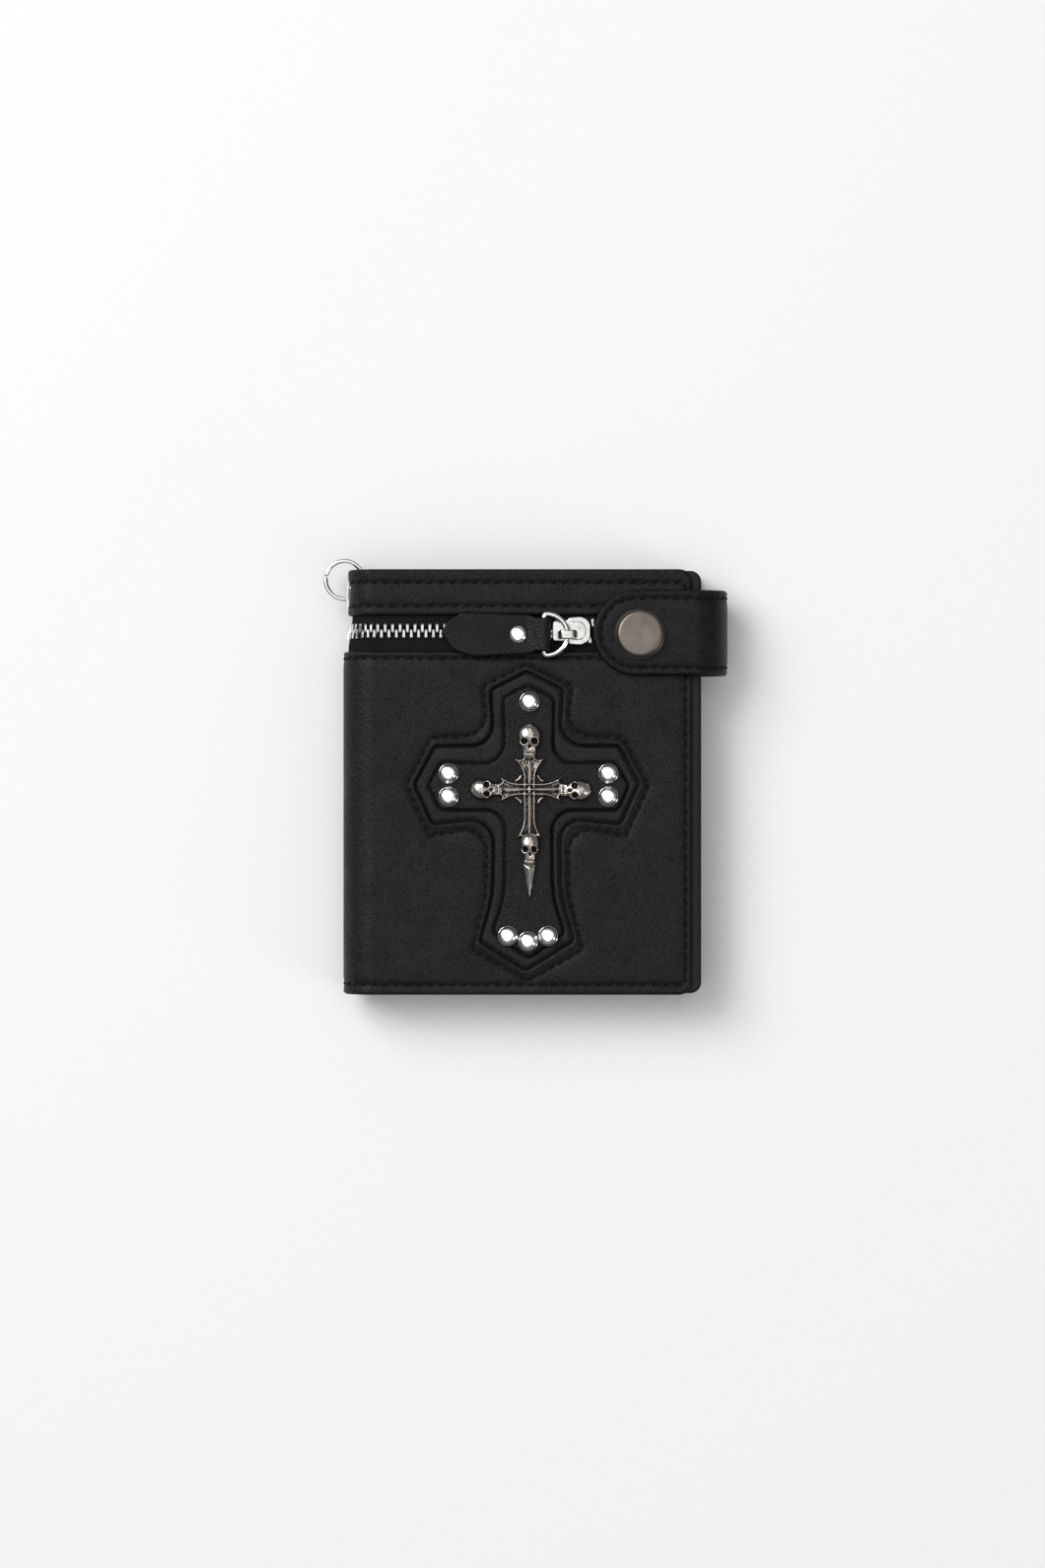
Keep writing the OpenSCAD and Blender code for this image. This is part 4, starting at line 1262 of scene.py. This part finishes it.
edge_dye = cut_edges("edge_dye", (0.007, 0.007, 0.007), 0.55)
welt_wide = 2.8
for node, body, right in (("front_edge_welt", "front_half", front_edge),
                          ("back_edge_welt", "back_half", back_edge)):
    low, high = corners(node)
    layer = (high[2] - low[2]) / 3
    for k in range(3):
        outer_line = frame_line(back_edge, 0.12 * (k == 1))
        inner_right, inner_top = right - welt_wide, top_edge - welt_wide
        inner_line = np.array([(beyond, -inner_top), (inner_right, -inner_top),
                               (inner_right, inner_top), (beyond, inner_top)])

        def welt_within(x, y):
            d = np.minimum(inside(x, y, outer_line), -inside(x, y, inner_line))
            if body == "back_half":
                d = np.minimum(d, np.maximum(np.abs(y - strap_y) - strap_half - 0.2, right - 10 - x))
            return np.minimum(d, x - low[0])

        welt = cut_sheet(f"{node}_layer_{k + 1}", (low[0] - 0.4, -top_edge), (back_edge, top_edge), 0.6,
                         welt_within, lambda x, y, d: edge_roll(d, 0.4), layer - 0.03,
                         flat_on(low[2] + layer * (k + 1)))
        welt.data.materials.append(edge_dye)
        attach(welt, body)
        if k == 0:
            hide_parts(node)


# ---- Linings, boards, facings and pockets ------------------------------------------------------
# Inside each cover: a cloth lining for the zip pocket, a stiff board, and a facing of smooth
# thin hide. Stepped card pockets are sewn to the back's; a slip pocket and a pocket with a
# clear window to the front's.


def fibre_board():
    material, tree, body, where = shader("fibre_board", 0.85, specular=0.2)
    fibre = texture(tree, "Noise", where, 0.8, Detail=6.0, Roughness=0.7)
    bump(tree, body, fibre.outputs[0], 0.08)
    coat(tree, body, spread(tree, fibre.outputs[0], 0.35, 0.7), (0.05, 0.042, 0.034), (0.12, 0.1, 0.08))
    return material


def lining_cloth():
    material, tree, body, where = shader("lining_cloth", 0.7, specular=0.3)
    warp = texture(tree, "Wave", where, 0.8, wave_type="BANDS", bands_direction="X")
    weft = texture(tree, "Wave", where, 0.8, wave_type="BANDS", bands_direction="Y")
    thread = texture(tree, "Noise", where, 0.3, Detail=3.0)
    weave = maths(tree, "MAXIMUM", warp.outputs["Fac"], weft.outputs["Fac"])
    weave = plus(tree, weave, thread.outputs[0])
    bump(tree, body, weave, 0.04)
    coat(tree, body, spread(tree, weave, 0.6, 1.6), (0.012, 0.012, 0.014), (0.035, 0.035, 0.04))
    return material


def clear_film():
    material, tree, body, where = shader("clear_film", 0.12, specular=0.5)
    haze = texture(tree, "Noise", where, 6.0, Detail=4.0)
    wave = texture(tree, "Noise", where, 14.0, Detail=1.0)
    bump(tree, body, wave.outputs[0], 0.3)
    body.inputs["Transmission Weight"].default_value = 0.92
    body.inputs["IOR"].default_value = 1.3
    tree.links.new(spread(tree, haze.outputs[0], 0.35, 0.7, 0.06, 0.25), body.inputs["Roughness"])
    coat(tree, body, haze.outputs[0], (0.9, 0.92, 0.94), (0.97, 0.98, 0.98))
    return material


inner_cloth, board_fibre, film = lining_cloth(), fibre_board(), clear_film()


def leaf(node, body, material, r=2.0, hole=None, hem=True, sewn=True):
    """A flat inner layer the size of its node, its good side towards the fold."""
    low, high = corners(node)
    line = rectangle(low, high, [0.5, r, r, 0.5])
    good = high[2] if body == "back_half" else low[2]
    side = 1 if body == "back_half" else -1
    a, b, c, d = low[0] + 1.5, high[0] - 1.9, low[1] + 1.9, high[1] - 1.9
    rows = [np.array([(a, d), (a, c), (b, c), (b, d)])] if sewn else []

    def within(x, y):
        reach = inside(x, y, line)
        return reach if hole is None else np.minimum(reach, -inside(x, y, hole))

    def top(x, y):
        return thread_ditch(x, y, rows, 0.12) if rows else 0 * x

    def height(x, y, d):
        crease = -0.12 * bell((y - high[1] + 3.2) / 0.5) if hem else 0
        return edge_roll(d, 0.3) + top(x, y) + crease

    def place(x, y, h):
        return np.stack([x, y, good + side * h], -1)

    sheet = cut_sheet(node + "_layer", low[:2] - 0.6, high[:2] + 0.6, 0.9, within, height,
                      high[2] - low[2], place, rows=rows)
    sheet.data.materials.append(material)
    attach(sheet, body)
    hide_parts(node)
    if rows:
        thread = stitches(node + "_stitching", [(rows[0], 3.0, top, place)], 21, 0.2)
        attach(thread, body)


for body in ("back", "front"):
    leaf(f"{body}_pocket_lining", body + "_half", inner_cloth, hem=False, sewn=False)
    leaf(f"{body}_board", body + "_half", board_fibre, hem=False, sewn=False)
    leaf(f"{body}_facing", body + "_half", inner_hide, r=3.2, hem=False)
for level in ("low", "mid", "top"):
    leaf(f"card_pocket_{level}", "back_half", inner_hide)
leaf("slip_pocket", "front_half", inner_hide)
low, high = corners("id_window")
opening = rectangle(low, high, [3, 3, 3, 3])
leaf("id_pocket_frame", "front_half", inner_hide, hole=opening)
leaf("id_window", "front_half", film, hem=False, sewn=False)


# ---- Spine facing ---------------------------------------------------------------------------------
# Smooth thin hide glued inside the spine below the zip.

facing_low, facing_high = corners("spine_facing")
facing_out = spine_x - facing_low[0]


def facing_wrap(x, y, h):
    turn = (spine_x - x) / spine_r
    r = facing_out - 0.7 - h
    return np.stack([spine_x - r * np.sin(turn), y, spine_r + r * np.cos(turn)], -1)


def facing_back_wrap(x, y, h):
    return facing_wrap(x, y, h) * [1, 1, -1] + [0, 0, closed]


def facing_within(x, y):
    return np.minimum(np.minimum(y - facing_low[1], facing_high[1] - y), spine_x - x)


def facing_height(x, y, d):
    """Small ripples where the hide is bent round."""
    return edge_roll(d, 0.25) + 0.05 * np.sin(x * 2.2 + 0.1 * y)


for name, wrap in (("front", facing_wrap), ("back", facing_back_wrap)):
    facing = cut_sheet(f"spine_facing_{name}", (spine_mid, facing_low[1]), (spine_x, facing_high[1]),
                       0.9, facing_within, facing_height, 0.7, wrap, open_x=spine_mid)
    facing.data.materials.append(inner_hide)
    first, second, start, end = slots[name][1:]
    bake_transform(facing)
    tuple(start)
    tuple(end)
    if name == "front":
        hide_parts("spine_facing")


# ---- Floor, light and camera ---------------------------------------------------
# The wallet lies on its back on plain pale card under soft light from the upper
# left, seen from straight above.


def floor_card():
    material, tree, body, where = shader("floor_card", 0.8, specular=0.2)
    tooth = texture(tree, "Noise", where, 1.2, Detail=3.0)
    bump(tree, body, tooth.outputs[0], 0.03)
    coat(tree, body, tooth.outputs[0], (0.86, 0.86, 0.86), (0.9, 0.9, 0.9))
    return material


floor_mesh = bpy.data.meshes.new("floor")
floor_half, floor_below = 1.5, 0.0006
floor_mesh.from_pydata([(-floor_half, -floor_half, 0), (floor_half, -floor_half, 0),
                        (floor_half, floor_half, 0), (-floor_half, floor_half, 0)], [], [(0, 1, 2, 3)])
floor = bpy.data.objects.new("floor", floor_mesh)
floor.location = (0, 0, -floor_below)
bpy.context.scene.collection.objects.link(floor)
floor.data.materials.append(floor_card())
floor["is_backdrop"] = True


def soft_light(name, place, size, power):
    """A rectangular light that faces the wallet."""
    lamp = bpy.data.lights.new(name, "AREA")
    lamp.shape = "RECTANGLE"
    lamp.size, lamp.size_y = size
    lamp.energy = power
    stand = bpy.data.objects.new(name, lamp)
    stand.location = place
    x, y, z = place
    stand.rotation_euler = (math.acos(z / math.hypot(x, y, z)), 0, math.atan2(x, -y))
    bpy.context.scene.collection.objects.link(stand)


soft_light("key_light", (-1.52, 1.2, 2.0), (1.76, 1.76), 56.3)
soft_light("top_light", (-0.2, 0.2, 1.9), (2.4, 2.4), 18)
soft_light("fill_light", (1.2, -0.6, 0.8), (0.4, 1.2), 3.5)

world = bpy.data.worlds.new("pale_room")
world.use_nodes = True
world.node_tree.nodes["Background"].inputs["Color"].default_value = (1, 1, 1, 1)
world.node_tree.nodes["Background"].inputs["Strength"].default_value = 0.2
bpy.context.scene.world = world
bpy.context.scene.view_settings.view_transform = "Standard"

lens = bpy.data.cameras.new("camera")
lens.sensor_fit = "VERTICAL"
lens.sensor_height = 36
camera_above, frame_high = 1.2, 0.4344
lens.lens = lens.sensor_height * camera_above / frame_high
camera = bpy.data.objects.new("camera", lens)
camera.location = (0, -0.00055, closed * MM + camera_above)
bpy.context.scene.collection.objects.link(camera)
bpy.context.scene.camera = camera

low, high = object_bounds()
{"before": [list(cad_low), list(cad_high)], "after": [list(low), list(high)]}
